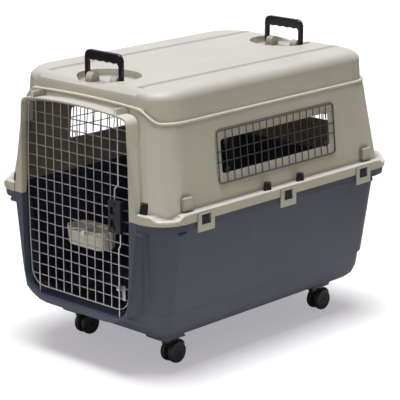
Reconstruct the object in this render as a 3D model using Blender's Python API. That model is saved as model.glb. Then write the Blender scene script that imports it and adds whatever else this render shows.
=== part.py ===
# Rolling dog travel crate: a moulded tub and lid joined at a flange, a wire door with a
# two-rod latch, wire windows, two folding roof handles and four twin-wheel castors.
# Metres, +Z up, front (door) at -Y, origin on the floor under the middle of the crate.

import math

import bmesh
import bpy
from mathutils import Matrix, Vector

# Clearances between pieces that touch
GAP = 0.0003
RUN = 0.0004

# Main body
FLANGE_WIDTH = 0.540
FLANGE_LENGTH = 0.780
FLANGE_CORNER = 0.070
WALL = 0.004
WHEEL_DIAMETER = 0.050
CASTOR_HEADROOM = 0.016
PAD_HEIGHT = 0.016
TUB_HEIGHT = 0.2773
LID_WALL_HEIGHT = 0.2037
CROWN_HEIGHT = 0.0675

# Lid
LID_SIDE_LEDGE = 0.022
LID_END_LEDGE = 0.0106
LID_SIDE_DRAFT = math.radians(5.5)
LID_END_DRAFT = math.radians(6.6)
LID_CORNER = 0.060
LID_CORNER_GROWTH = 0.018
RIDGE_STEP = 0.005
CROWN_RADIUS = 0.022
CROWN_INSET = 0.002
CROWN_END_STRETCH = 1.6
FLANGE_PLATE = 0.0095
FLANGE_BAND = 0.0095
ARCH_RISE = 0.033
ROOF_WALL = 0.0078
GROOVE_INSET = 0.086
GROOVE_DEPTH = 0.004
GROOVE_WIDTH = 0.009
GROOVE_END = 0.029
GROOVE_RUN_OUT = 0.010
BOSS_WIDTH = 0.028
BOSS_HEIGHT = 0.027
BOSS_STAND = 0.007
BOSS_END_INSET = 0.093

# Tub
TUB_SIDE_LEDGE = 0.0223
TUB_END_LEDGE = 0.0233
TUB_DRAFT = math.radians(6.2)
TUB_CORNER = 0.050
TUB_CORNER_TAPER = 0.012
TUB_STEP = 0.005
TUB_STEP_HEIGHT = 0.070
TUB_BOTTOM_RADIUS = 0.034
RIM_SETBACK = 0.002
RIM_CORNER = 0.074
RIM_HEIGHT = 0.016
RIM_PLATE = 0.004
RIM_SKIRT = 0.003
PAD_HALF = 0.035
PAD_CORNER = 0.018

# Doorway and its surround
DOORWAY_HALF = 0.1675
DOORWAY_BOW = 0.008
SILL_HEIGHT = 0.0525
HEAD_ABOVE_RIDGE = 0.020
HEAD_DROP = 0.010
HEAD_THICKNESS = 0.003
DOORWAY_LOW_CORNER = 0.046
DOORWAY_TOP_CORNER = 0.016
SURROUND_FRONT_SETBACK = 0.0015
SILL_THICKNESS = 0.0125
MARGIN_SPLIT = 0.023
MARGIN_HEAD = 0.002
SHOULDER_RADIUS = 0.028
# Pillar widths beside the doorway at shares of the way from the split to the sill or the head
MARGINS_BELOW = ((0.79, 0.004), (0.59, 0.0088), (0.39, 0.0128))
MARGINS_ABOVE = ((0.156, 0.0195), (0.428, 0.0115), (0.738, 0.0028))
# Lower corners of the surround: inwards from the doorway's side, above the sill
LOW_CORNER_POINTS = ((0.0725, -SILL_THICKNESS), (0.0495, -0.009), (0.0255, 0.0015), (0.009, 0.014))
RIB_THICKNESS = 0.008
RIB_RISE = 0.012

# Wire door
DOOR_MARGIN = 0.009
DOOR_HEAD_GAP = 0.0035
DOOR_SILL_GAP = 0.019
DOOR_SETBACK = 0.013
WIRE = 0.00135
FRAME_WIRE = 0.0017
LAYER = 0.0024
MESH_PITCH_X = 0.025
MESH_PITCH_Z = 0.0246
DOOR_EDGE = 0.055
ROD_INSET = 0.039
HINGE_ROD = 0.0024
SOCKET_CLEARANCE = 0.0005
SOCKET_DEPTH = 0.011
ROD_BELOW_SILL = 0.0035
GUIDE_HEIGHT = 0.010
BRACKET_WIDTH = 0.0105
BRACKET_HEIGHT = 0.033
BRACKET_DROP = 0.010

# Latch
LATCH_WIDTH = 0.037
LATCH_HEIGHT = 0.070
LATCH_DEPTH = 0.010
LATCH_WALL = 0.0016
LATCH_FROM_ROD = 0.007
LATCH_ABOVE_SPLIT = 0.0007
LATCH_ROD = 0.0018
LATCH_TRAVEL = 0.016
TAB_THICKNESS = 0.007
TAB_WIDTH = 0.013
TAB_STAND = 0.0022
SPRING_LENGTH = 0.005
DIVIDER = 0.002

# Bowl
BOWL_HALF = 0.060
BOWL_DEPTH = 0.062
BOWL_HEIGHT = 0.042
BOWL_WALL = 0.0025
BOWL_CORNER = 0.024
BOWL_STAND_OFF = 0.004
HOOK_WIDTH = 0.012
HOOK_THICKNESS = 0.0024

# Windows
WINDOW_LENGTH = 0.385
WINDOW_HEIGHT = 0.112
REAR_WINDOW_LENGTH = 0.252
WINDOW_LIP = 0.014
WINDOW_LIP_UPRIGHT = 0.019
WINDOW_RECESS = 0.002
WINDOW_PITCH = 0.0222
WINDOW_ROW_PITCH = 0.0225
WINDOW_CORNER = 0.010
OPENING_CORNER = 0.006

# Roof handles
HANDLE_END_INSET = 0.097
HANDLE_WIDTH = 0.114
HANDLE_HEIGHT = 0.0613
HANDLE_CORNER = 0.015
HANDLE_LEG = 0.0105
HANDLE_GRIP = 0.021
HANDLE_THICKNESS = 0.011
HANDLE_WAVES = 4
HANDLE_WAVE = 0.0022
PIVOT_RADIUS = 0.004
PIVOT_BOSS_WIDTH = 0.018
PIVOT_BOSS_RADIUS = 0.0125
PIVOT_BELOW_ROOF = 0.0075
DISH_FLOOR_BELOW_PIVOT = 0.008
DISH_HALF = 0.074
DISH_REACH = 0.066
DISH_OFFSET = 0.015

# Snap tabs and catches along the sides
TAB_END_INSET = 0.127
SNAP_TAB_WIDTH = 0.0505
SNAP_TAB_DROP = 0.024
SNAP_TAB_RISE = 0.017
SNAP_TAB_THICKNESS = 0.0027
CATCH_WIDTH = 0.0268
CATCH_HEIGHT = 0.023
CATCH_THICKNESS = 0.0035
CATCH_SWING = 0.006
CATCH_DEPTH = 0.0072
CATCH_FOOT = 0.0045
CATCH_RIBS = 4

# Fasteners
NUT_DIAMETER = 0.015
NICHE_RADIUS = 0.0095
NICHE_WALL = 0.003
NICHE_HEIGHT = 0.024
NUT_HEIGHT = 0.0165
BOLT_RADIUS = 0.003
BOLT_HEAD_RADIUS = 0.0058
BOLT_HEAD_HEIGHT = 0.0036
SIDE_NUT_SPREAD = 0.0547
END_NUT_INSET = 0.073
SIDE_NUT_SETBACK = 0.0125
END_NUT_SETBACK = 0.017

# Castors
CASTOR_SIDE_INSET = 0.132
CASTOR_END_INSET = 0.141
CASTOR_TRAIL = 0.0215
CASTOR_PLATE_RADIUS = 0.023
CASTOR_PLATE_THICKNESS = 0.003
STEM_RADIUS = 0.005
HOOD_GAP = 0.0022
HOOD_WEB = 0.008
HOOD_HALF_WIDTH = 0.0115
HOOD_SKIN = 0.0025
WHEEL_CLEARANCE = 0.0025
WHEEL_WIDTH = 0.0125
WHEEL_SIDE_GAP = 0.0013
AXLE_RADIUS = 0.003
LEVER_LENGTH = 0.023
LEVER_HALF_WIDTH = 0.0135
LEVER_THICKNESS = 0.003
LEVER_BARREL = 0.0024

# Levels and reaches that follow from the sizes above
HALF_W = FLANGE_WIDTH / 2
HALF_L = FLANGE_LENGTH / 2
PAD_Z = WHEEL_DIAMETER + CASTOR_HEADROOM
TUB_Z = PAD_Z + PAD_HEIGHT
SPLIT_Z = TUB_Z + TUB_HEIGHT
RIDGE_Z = SPLIT_Z + LID_WALL_HEIGHT
ROOF_Z = RIDGE_Z + CROWN_HEIGHT
SILL_Z = TUB_Z + SILL_HEIGHT
HEAD_Z = RIDGE_Z + HEAD_ABOVE_RIDGE
FRONT_Y = SURROUND_FRONT_SETBACK - HALF_L
DOOR_Y = FRONT_Y + DOOR_SETBACK
ROD_Y = DOOR_Y - WIRE - LATCH_ROD - 0.0015
PIVOT_Z = ROOF_Z - PIVOT_BELOW_ROOF
DISH_Z = PIVOT_Z - DISH_FLOOR_BELOW_PIVOT
ROD_X = DOORWAY_HALF - ROD_INSET
LATCH_X = ROD_X - LATCH_FROM_ROD
BOSS_Y = HALF_L - BOSS_END_INSET
HANDLE_Y = HALF_L - HANDLE_END_INSET
TAB_SPACING = HALF_L - TAB_END_INSET
SIDE_NUT_Y = SIDE_NUT_SPREAD
END_NUT_X = HALF_W - END_NUT_INSET
CASTOR_X = HALF_W - CASTOR_SIDE_INSET
CASTOR_Y = HALF_L - CASTOR_END_INSET
BAND_Z = SPLIT_Z + FLANGE_PLATE + FLANGE_BAND
WINDOW_Z = SPLIT_Z + 0.0117 + LID_WALL_HEIGHT / 2
OUTSIDE = HALF_W + HALF_L


def clear_scene():
    for obj in list(bpy.data.objects):
        bpy.data.objects.remove(obj, do_unlink=True)


def finish(name, colour, roughness, metallic=0.0):
    material = bpy.data.materials.new(name)
    material.use_nodes = True
    shader = material.node_tree.nodes["Principled BSDF"]
    shader.inputs["Base Color"].default_value = (*colour, 1.0)
    shader.inputs["Roughness"].default_value = roughness
    shader.inputs["Metallic"].default_value = metallic
    return material


# Solids are made as separate objects and then joined or cut


def solid(bm, name="tool"):
    bmesh.ops.recalc_face_normals(bm, faces=bm.faces)
    mesh = bpy.data.meshes.new(name)
    bm.to_mesh(mesh)
    bm.free()
    obj = bpy.data.objects.new(name, mesh)
    bpy.context.scene.collection.objects.link(obj)
    return obj


def box(low, high):
    bm = bmesh.new()
    size = [h - l for l, h in zip(low, high)]
    middle = [(l + h) / 2 for l, h in zip(low, high)]
    place = Matrix.Translation(middle) @ Matrix.Diagonal((*size, 1.0))
    bmesh.ops.create_cube(bm, size=1.0, matrix=place)
    return solid(bm)


def loft(rings):
    """A closed solid through rings that hold the same number of points."""
    bm = bmesh.new()
    rows = [[bm.verts.new(point) for point in ring] for ring in rings]
    count = len(rows[0])
    for low, high in zip(rows, rows[1:]):
        for i in range(count):
            j = (i + 1) % count
            bm.faces.new((low[i], low[j], high[j], high[i]))
    bm.faces.new(list(reversed(rows[0])))
    bm.faces.new(rows[-1])
    return solid(bm)


def prism(outline, low, high, place):
    """An outline of (a, b) pairs pushed from low to high; place turns (a, b, c) into a point."""
    return loft([[place(a, b, c) for a, b in outline] for c in (low, high)])


def seen_from_front(a, b, c):
    return (a, c, b)


def seen_from_side(a, b, c):
    return (c, a, b)


def seen_from_above(a, b, c):
    return (a, b, c)


def cylinder(centre, radius, low, high, axis="Z", sides=16, top_radius=None):
    bm = bmesh.new()
    quarter = math.pi / 2
    turns = {"Z": Matrix(), "X": Matrix.Rotation(quarter, 4, "Y"), "Y": Matrix.Rotation(-quarter, 4, "X")}
    middle = Vector(centre)
    middle["XYZ".index(axis)] = (low + high) / 2
    phase = Matrix.Rotation(math.pi / sides, 4, "Z")
    bmesh.ops.create_cone(
        bm,
        cap_ends=True,
        segments=sides,
        radius1=radius,
        radius2=radius if top_radius is None else top_radius,
        depth=high - low,
        matrix=Matrix.Translation(middle) @ turns[axis] @ phase,
    )
    return solid(bm)


def turned(centre, profile, sides):
    """A solid on a vertical axis through (radius, z) levels."""
    rings = []
    for radius, z in profile:
        angles = [2 * math.pi * (step + 0.5) / sides for step in range(sides)]
        x, y = centre
        rings.append([(x + radius * math.cos(a), y + radius * math.sin(a), z) for a in angles])
    return loft(rings)


def turned_ring(centre, profile, sides):
    """A ring round an axis along X through a closed outline of (radius, x) points."""
    bm = bmesh.new()
    rows = []
    for step in range(sides):
        angle = 2 * math.pi * (step + 0.5) / sides
        c, s = math.cos(angle), math.sin(angle)
        y, z = centre
        rows.append([bm.verts.new((x, y + radius * c, z + radius * s)) for radius, x in profile])
    count = len(profile)
    for index in range(sides):
        low = rows[index]
        high = rows[(index + 1) % sides]
        for i in range(count):
            j = (i + 1) % count
            bm.faces.new((low[i], low[j], high[j], high[i]))
    return solid(bm)


def combined(target, tool, operation):
    modifier = target.modifiers.new(operation.title(), "BOOLEAN")
    modifier.operation = operation
    modifier.solver = "EXACT"
    modifier.object = tool
    bpy.context.view_layer.update()
    graph = bpy.context.evaluated_depsgraph_get()
    mesh = bpy.data.meshes.new_from_object(target.evaluated_get(graph))
    target.modifiers.clear()
    target.data = mesh
    bpy.data.objects.remove(tool, do_unlink=True)
    return target


def join(target, *tools):
    for tool in tools:
        combined(target, tool, "UNION")
    return target


def cut(target, *tools):
    for tool in tools:
        combined(target, tool, "DIFFERENCE")
    return target


def shared(target, tool):
    return combined(target, tool, "INTERSECT")


def group(*objects):
    """Solids that don't touch, held as one tool."""
    bm = bmesh.new()
    for obj in objects:
        bm.from_mesh(obj.data)
        bpy.data.objects.remove(obj, do_unlink=True)
    return solid(bm)


def moved(obj, matrix):
    obj.data.transform(matrix)
    return obj


def piece(obj, name, material, pivot=(0.0, 0.0, 0.0)):
    """Names a finished sub-part and puts its origin on its pivot."""
    bm = bmesh.new()
    bm.from_mesh(obj.data)
    bmesh.ops.remove_doubles(bm, verts=bm.verts, dist=0.000001)
    bmesh.ops.dissolve_degenerate(bm, edges=bm.edges, dist=0.000001)
    bmesh.ops.dissolve_limit(bm, angle_limit=0.0005, verts=bm.verts, edges=bm.edges)
    bmesh.ops.triangulate(bm, faces=bm.faces)
    bmesh.ops.translate(bm, vec=-Vector(pivot), verts=bm.verts)
    bm.to_mesh(obj.data)
    bm.free()
    obj.name = name
    obj.data.name = name
    obj.location = pivot
    obj.data.materials.clear()
    obj.data.materials.append(material)
    obj.data.shade_smooth()
    obj.data.set_sharp_from_angle(angle=math.radians(30))
    return obj


# Outlines


def rounded(corners, steps=4):
    """A closed outline of (a, b, radius) corners, each with a radius turned into an arc."""
    outline = []
    for index, (a, b, radius) in enumerate(corners):
        here = Vector((a, b))
        if radius <= 0:
            outline.append((a, b))
            continue
        before = (Vector(corners[index - 1][:2]) - here).normalized()
        after = (Vector(corners[(index + 1) % len(corners)][:2]) - here).normalized()
        half_angle = before.angle(after) / 2
        run = radius / math.tan(half_angle)
        centre = here + (before + after).normalized() * (radius / math.sin(half_angle))
        start = here + before * run - centre
        sweep = math.pi - 2 * half_angle
        turn = 1.0 if before.cross(after) < 0 else -1.0
        for step in range(steps + 1):
            angle = turn * sweep * step / steps
            c, s = math.cos(angle), math.sin(angle)
            outline.append((centre.x + start.x * c - start.y * s, centre.y + start.x * s + start.y * c))
    return outline


def rectangle(half_a, half_b, radius, steps=4, middle=(0.0, 0.0)):
    a, b = middle
    corners = ((-1, -1), (1, -1), (1, 1), (-1, 1))
    return rounded([(a + sa * half_a, b + sb * half_b, radius) for sa, sb in corners], steps)


def ring(half_w, half_l, radius, z, steps=4):
    return [(x, y, z) for x, y in rectangle(half_w, half_l, radius, steps)]


def arc(centre, radius, start, end, steps):
    points = []
    for step in range(steps + 1):
        angle = math.radians(start + (end - start) * step / steps)
        points.append((centre[0] + radius * math.cos(angle), centre[1] + radius * math.sin(angle)))
    return points


# Shared walls of lid and tub


def lid_half_w(z):
    return HALF_W - LID_SIDE_LEDGE - (z - SPLIT_Z) * math.tan(LID_SIDE_DRAFT)


def lid_half_l(z):
    return HALF_L - LID_END_LEDGE - (z - SPLIT_Z) * math.tan(LID_END_DRAFT)


def lid_corner(z):
    return LID_CORNER + LID_CORNER_GROWTH * (z - SPLIT_Z) / LID_WALL_HEIGHT


def tub_corner(z):
    return TUB_CORNER - TUB_CORNER_TAPER * (SPLIT_Z - z) / TUB_HEIGHT


def tub_half_w(z):
    return HALF_W - TUB_SIDE_LEDGE - (SPLIT_Z - z) * math.tan(TUB_DRAFT)


def tub_half_l(z):
    return HALF_L - TUB_END_LEDGE - (SPLIT_Z - z) * math.tan(TUB_DRAFT)


def lid_wall_ring(z, inward=0.0, steps=4):
    return ring(lid_half_w(z) - inward, lid_half_l(z) - inward, lid_corner(z) - inward, z, steps)


def crown_ring(inset, z, steps=4):
    """A level of the roof, inset from the foot of the wall above the ridge."""
    half_w = lid_half_w(RIDGE_Z) - RIDGE_STEP - inset
    half_l = lid_half_l(RIDGE_Z) - RIDGE_STEP - inset * CROWN_END_STRETCH
    return ring(half_w, half_l, lid_corner(RIDGE_Z) - RIDGE_STEP - inset * 0.6, z, steps)


def lid_rings():
    """A drafted wall, a small step at the ridge, a rounded shoulder and a flat top."""
    rings = [lid_wall_ring(SPLIT_Z - 0.010), lid_wall_ring(RIDGE_Z), crown_ring(0.0, RIDGE_Z + 0.0015)]
    for angle in (0, 22, 45, 67, 90):
        turn = math.radians(angle)
        inset = CROWN_INSET + CROWN_RADIUS * (1 - math.cos(turn))
        rings.append(crown_ring(inset, ROOF_Z - CROWN_RADIUS * (1 - math.sin(turn))))
    return rings


def tub_rings(inward=0.0, top=0.010, steps=4):
    step_z = TUB_Z + TUB_STEP_HEIGHT
    round_z = TUB_Z + TUB_BOTTOM_RADIUS
    radius = TUB_BOTTOM_RADIUS - inward
    rings = []
    for angle in (90, 62, 34, 0):
        turn = math.radians(angle)
        inset = radius * (1 - math.cos(turn)) + TUB_STEP + inward
        z = round_z - radius * math.sin(turn)
        corner = tub_corner(z) - inset * 0.6
        rings.append(ring(tub_half_w(z) - inset, tub_half_l(z) - inset, corner, z, steps))
    for z, inset in ((step_z - 0.0025, TUB_STEP + inward), (step_z, inward), (SPLIT_Z + top, inward)):
        rings.append(ring(tub_half_w(z) - inset, tub_half_l(z) - inset, tub_corner(z) - inset, z, steps))
    return rings


# Doorway outlines, seen from the front


def doorway_half(z):
    middle = (SILL_Z + HEAD_Z) / 2
    reach = (HEAD_Z - SILL_Z) / 2
    return DOORWAY_HALF - DOORWAY_BOW * ((z - middle) / reach) ** 2


def head_z(x):
    return HEAD_Z - HEAD_DROP * (x / DOORWAY_HALF) ** 2


def doorway_outline(inward=0.0, sill_gap=0.0, head_gap=0.0, steps=4):
    low = SILL_Z + sill_gap
    side = [low + (HEAD_Z - low) * share for share in (0.25, 0.5, 0.75)]
    bottom = doorway_half(low) - inward
    corner_z = head_z(DOORWAY_HALF) - head_gap
    top = doorway_half(corner_z) - inward
    corners = [(-bottom, low, DOORWAY_LOW_CORNER - inward), (bottom, low, DOORWAY_LOW_CORNER - inward)]
    corners += [(doorway_half(z) - inward, z, 0) for z in side]
    corners.append((top, corner_z, DOORWAY_TOP_CORNER - inward * 0.4))
    arch = [top * share for share in (0.66, 0.33, 0.0, -0.33, -0.66)]
    corners += [(x, head_z(x) - head_gap, 0) for x in arch]
    corners.append((-top, corner_z, DOORWAY_TOP_CORNER - inward * 0.4))
    corners += [(inward - doorway_half(z), z, 0) for z in reversed(side)]
    return rounded(corners, steps)


def surround_outline():
    """The outer edge of the doorway's surround, which is widest at the split."""
    shoulder = head_z(DOORWAY_HALF) + HEAD_THICKNESS
    right = [(DOORWAY_HALF - inset, SILL_Z + rise, 0) for inset, rise in LOW_CORNER_POINTS]
    for share, margin in MARGINS_BELOW:
        z = SPLIT_Z + (SILL_Z - SPLIT_Z) * share
        right.append((doorway_half(z) + margin, z, 0))
    right.append((doorway_half(SPLIT_Z) + MARGIN_SPLIT, SPLIT_Z, 0))
    for share, margin in MARGINS_ABOVE:
        z = SPLIT_Z + (HEAD_Z - SPLIT_Z) * share
        right.append((doorway_half(z) + margin, z, 0))
    right.append((doorway_half(shoulder) + MARGIN_HEAD, shoulder, SHOULDER_RADIUS))
    shares = (0.7, 0.47, 0.23, 0.0, -0.23, -0.47, -0.7)
    arch = [(DOORWAY_HALF * share, head_z(DOORWAY_HALF * share) + HEAD_THICKNESS, 0) for share in shares]
    left = [(-x, z, radius) for x, z, radius in reversed(right)]
    return rounded(right + arch + left, 5)


def ridge_arch_outline():
    base = RIDGE_Z - 0.010
    inner = ROD_X + 0.0495
    outer = inner + 0.025
    right = [(outer + 0.012, base, 0), (outer + 0.012, RIDGE_Z + 0.0005, 0)]
    right.append((outer, RIDGE_Z + 0.001, 0.014))
    right += [(inner, RIDGE_Z + ARCH_RISE * 0.73, 0.014), (ROD_X, RIDGE_Z + ARCH_RISE * 0.93, 0)]
    right.append((ROD_X / 2, RIDGE_Z + ARCH_RISE * 0.985, 0))
    left = [(-x, z, radius) for x, z, radius in reversed(right)]
    return rounded(right + [(0.0, RIDGE_Z + ARCH_RISE, 0)] + left, 3)


# Wall frames for the windows: along the wall, up the wall, out of the wall


def wall_matrix(side):
    if side == "rear":
        tilt = LID_END_DRAFT
        middle = Vector((0.0, lid_half_l(WINDOW_Z), WINDOW_Z))
        out = Vector((0.0, math.cos(tilt), math.sin(tilt)))
        up = Vector((0.0, -math.sin(tilt), math.cos(tilt)))
    else:
        tilt = LID_SIDE_DRAFT
        sign = 1.0 if side == "right" else -1.0
        middle = Vector((sign * lid_half_w(WINDOW_Z), 0.0, WINDOW_Z))
        out = Vector((sign * math.cos(tilt), 0.0, math.sin(tilt)))
        up = Vector((-sign * math.sin(tilt), 0.0, math.cos(tilt)))
    along = up.cross(out)
    turn = Matrix((along, up, out)).transposed().to_4x4()
    return Matrix.Translation(middle) @ turn


def window_length(side):
    return REAR_WINDOW_LENGTH if side == "rear" else WINDOW_LENGTH


# Wires


def wire(path, half, normal=Vector((0.0, 1.0, 0.0)), closed=False):
    """A four-sided wire along a flat path; normal is square to the path's plane."""
    points = [Vector(point) for point in path]
    count = len(points)
    rings = []
    for index, point in enumerate(points):
        before = points[index - 1] if closed or index > 0 else None
        after = points[(index + 1) % count] if closed or index < count - 1 else None
        arriving = (point - before).normalized() if before is not None else (after - point).normalized()
        leaving = (after - point).normalized() if after is not None else arriving
        tangent = (arriving + leaving).normalized()
        across = tangent.cross(normal).normalized()
        reach = half / max(tangent.dot(arriving), 0.5)
        corners = (normal * half, across * reach, -normal * half, -across * reach)
        rings.append([point + corner for corner in corners])
    if not closed:
        return loft(rings)
    bm = bmesh.new()
    rows = [[bm.verts.new(corner) for corner in row] for row in rings]
    for index in range(count):
        low = rows[index]
        high = rows[(index + 1) % count]
        for i in range(4):
            j = (i + 1) % 4
            bm.faces.new((low[i], low[j], high[j], high[i]))
    return solid(bm)


def rod(path, radius, sides=6, normal=Vector((0.0, 1.0, 0.0))):
    """A round rod along a flat path with mitred bends."""
    points = [Vector(point) for point in path]
    rings = []
    for index, point in enumerate(points):
        before = points[max(index - 1, 0)]
        after = points[min(index + 1, len(points) - 1)]
        arriving = (point - before).normalized() if index > 0 else (after - point).normalized()
        leaving = (after - point).normalized() if index < len(points) - 1 else arriving
        tangent = (arriving + leaving).normalized()
        across = tangent.cross(normal).normalized() / max(tangent.dot(arriving), 0.5)
        row = []
        for step in range(sides):
            angle = 2 * math.pi * (step + 0.5) / sides
            row.append(point + normal * (radius * math.cos(angle)) + across * (radius * math.sin(angle)))
        rings.append(row)
    return loft(rings)


# Lid


def lid_windows():
    tools = []
    for side in ("right", "left", "rear"):
        matrix = wall_matrix(side)
        half_a = window_length(side) / 2
        half_b = WINDOW_HEIGHT / 2
        margin = 0.004
        recess = rectangle(half_a + margin, half_b + margin, WINDOW_CORNER + margin, 2)
        opening = rectangle(half_a - WINDOW_LIP, half_b - WINDOW_LIP_UPRIGHT, OPENING_CORNER, 2)
        tools.append(moved(prism(recess, -WINDOW_RECESS, 0.02, seen_from_above), matrix))
        tools.append(moved(prism(opening, -0.03, 0.01, seen_from_above), matrix))
    return tools


def dish_rings(y, inward, floor, levels, sides):
    rings = []
    for share, rise in levels:
        row = []
        for step in range(sides):
            angle = 2 * math.pi * (step + 0.5) / sides
            a = (DISH_HALF * share + inward) * math.cos(angle)
            b = (DISH_REACH * share + inward) * math.sin(angle)
            row.append((a, y + b, floor + rise))
        rings.append(row)
    return rings


def dish_y(sign):
    return sign * (HANDLE_Y - DISH_OFFSET)


def lid_cavity():
    rings = [lid_wall_ring(SPLIT_Z - 0.010, WALL, 3), lid_wall_ring(RIDGE_Z - 0.009, WALL, 3)]
    rings.append(crown_ring(WALL, RIDGE_Z - 0.0045, 3))
    top = ROOF_Z - ROOF_WALL
    for inset, fall in ((0.006, 0.0227), (0.0095, 0.0117), (0.018, 0.0027), (0.030, 0.0)):
        rings.append(crown_ring(inset, top - fall, 3))
    cavity = loft(rings)
    for sign in (-1, 1):
        level = ((1.0, 0.0), (1.0, 0.05))
        cut(cavity, loft(dish_rings(dish_y(sign), WALL + 0.003, DISH_Z - WALL, level, 14)))
    return cavity


def roof_grooves():
    """V grooves along both edges of the roof's middle panel, running out at both ends."""
    x = lid_half_w(RIDGE_Z) - RIDGE_STEP - GROOVE_INSET
    end = lid_half_l(RIDGE_Z) - RIDGE_STEP - GROOVE_END
    full = end - GROOVE_RUN_OUT
    rise = GROOVE_DEPTH * 5
    spread = GROOVE_WIDTH / 2 * rise / GROOVE_DEPTH
    tools = []
    for sign in (-1, 1):
        rings = []
        for y, depth in ((-end, -0.0005), (-full, GROOVE_DEPTH), (full, GROOVE_DEPTH), (end, -0.0005)):
            z = ROOF_Z - depth
            middle = sign * x
            rings.append([(middle, y, z), (middle + spread, y, z + rise), (middle - spread, y, z + rise)])
        tools.append(loft(rings))
    return group(*tools)


def flange_band():
    """The raised band on the flange, which runs out at the corners."""
    low = SPLIT_Z + FLANGE_PLATE - 0.001
    band = loft([ring(HALF_W, HALF_L, FLANGE_CORNER, z) for z in (low, BAND_Z)])
    tools = []
    for sx in (-1, 1):
        for sy in (-1, 1):
            foot = SPLIT_Z + FLANGE_PLATE
            inner = [(HALF_W - 0.030, HALF_L - 0.045, foot)]
            inner.append((HALF_W - 0.0495, HALF_L - 0.082, BAND_Z + 0.001))
            rings = []
            for x, y, z in inner:
                far_x = HALF_W + 0.02
                far_y = HALF_L + 0.02
                corners = [(x, y), (far_x, y), (far_x, far_y), (x, far_y)]
                rings.append([(sx * a, sy * b, z) for a, b in corners])
            tools.append(loft(rings))
    return cut(band, group(*tools))


def bolt_places():
    side_x = HALF_W - SIDE_NUT_SETBACK
    end_y = HALF_L - END_NUT_SETBACK
    places = [("right_front", side_x, -SIDE_NUT_Y), ("right_rear", side_x, SIDE_NUT_Y)]
    places += [("left_front", -side_x, -SIDE_NUT_Y), ("left_rear", -side_x, SIDE_NUT_Y)]
    places += [("front_right", END_NUT_X, -end_y), ("front_left", -END_NUT_X, -end_y)]
    places += [("rear_right", END_NUT_X, end_y), ("rear_left", -END_NUT_X, end_y)]
    return places


def bolt_holes():
    holes = []
    for _, x, y in bolt_places():
        holes.append(cylinder((x, y, 0), BOLT_RADIUS + GAP, SPLIT_Z - 0.03, BAND_Z + 0.01, sides=8))
    return group(*holes)


def end_niches(grow, low, height):
    """Round pockets in the end walls, or the posts around them, where the end nuts stand."""
    niches = []
    for _, x, y in bolt_places():
        if abs(y) > SIDE_NUT_Y + GAP:
            radius = NICHE_RADIUS + grow
            niches.append(cylinder((x, y, 0), radius, low, BAND_Z + height, sides=12))
    return group(*niches)


def catch_places():
    places = []
    for side, sign in (("right", 1), ("left", -1)):
        for spot, y in (("front", -TAB_SPACING), ("middle", 0.0), ("rear", TAB_SPACING)):
            places.append((f"{side}_{spot}", sign, y))
    return places


def catch_low():
    return SPLIT_Z - RIM_HEIGHT + CATCH_FOOT


def catch_pockets():
    """The windows through tab, flange and rim that the catches fill."""
    pockets = []
    half = CATCH_WIDTH / 2 + 0.0006
    low = catch_low() + 0.0015
    high = catch_low() + CATCH_HEIGHT + 0.0008
    for _, sign, y in catch_places():
        inner = sign * (HALF_W - CATCH_DEPTH - GAP - CATCH_SWING)
        outer = sign * (HALF_W + 0.02)
        pockets.append(box((min(inner, outer), y - half, low), (max(inner, outer), y + half, high)))
    return pockets


def rod_sockets():
    sockets = []
    top = head_z(ROD_X) + SOCKET_DEPTH + 0.003
    low = SILL_Z - SILL_THICKNESS - 0.01
    for x, y, radius in ((-ROD_X, DOOR_Y, HINGE_ROD), (ROD_X, ROD_Y, LATCH_ROD)):
        wide = radius + SOCKET_CLEARANCE
        sockets.append(cylinder((x, y, 0), wide, low, SILL_Z + 0.02, sides=8))
        sockets.append(cylinder((x, y, 0), wide, head_z(ROD_X) - 0.01, top, sides=8))
    return group(*sockets)


def door_ribs():
    ribs = []
    for sign in (-1, 1):
        x = sign * ROD_X
        low = head_z(ROD_X) + 0.0013
        high = head_z(ROD_X) + HEAD_THICKNESS + SOCKET_DEPTH + 0.002
        half = RIB_THICKNESS / 2
        back = -lid_half_l(high) + 0.01
        ribs.append(box((x - half, FRONT_Y + 0.002, low), (x + half, back, high)))
    return group(*ribs)


def front_trim():
    """Cuts surround and flange flush across the front of the doorway."""
    reach = DOORWAY_HALF + MARGIN_SPLIT + 0.001
    return box((-reach, -HALF_L - 0.02, 0.0), (reach, FRONT_Y, ROOF_Z))


def wall_bosses():
    bosses = []
    low = BAND_Z + 0.003
    reach = lid_half_w(low) + BOSS_STAND
    for sx in (-1, 1):
        for sy in (-1, 1):
            x = [sx * (reach - 0.02), sx * reach]
            y = [sy * (BOSS_Y - BOSS_WIDTH / 2), sy * (BOSS_Y + BOSS_WIDTH / 2)]
            bosses.append(box((min(x), min(y), low), (max(x), max(y), low + BOSS_HEIGHT)))
    return group(*bosses)


def pivot_bosses():
    bosses = []
    inner = HANDLE_WIDTH / 2 - HANDLE_LEG - GAP
    half = PIVOT_BOSS_RADIUS
    outline = [(half, DISH_Z - 0.002), (half, PIVOT_Z)]
    outline += arc((0.0, PIVOT_Z), half, 30, 150, 4)
    outline += [(-half, PIVOT_Z), (-half, DISH_Z - 0.002)]
    for end in (-1, 1):
        shape = [(end * HANDLE_Y + a, b) for a, b in outline]
        for side in (-1, 1):
            x = sorted((side * inner, side * (inner - PIVOT_BOSS_WIDTH)))
            bosses.append(prism(shape, x[0], x[1], seen_from_side))
    return group(*bosses)


def pivot_holes():
    holes = []
    inner = HANDLE_WIDTH / 2 - HANDLE_LEG
    for end in (-1, 1):
        for side in (-1, 1):
            x = sorted((side * (inner + 0.002), side * (inner - PIVOT_BOSS_WIDTH * 0.72)))
            centre = (0, end * HANDLE_Y, PIVOT_Z)
            holes.append(cylinder(centre, PIVOT_RADIUS + RUN, x[0], x[1], axis="X", sides=10))
    return group(*holes)


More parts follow.
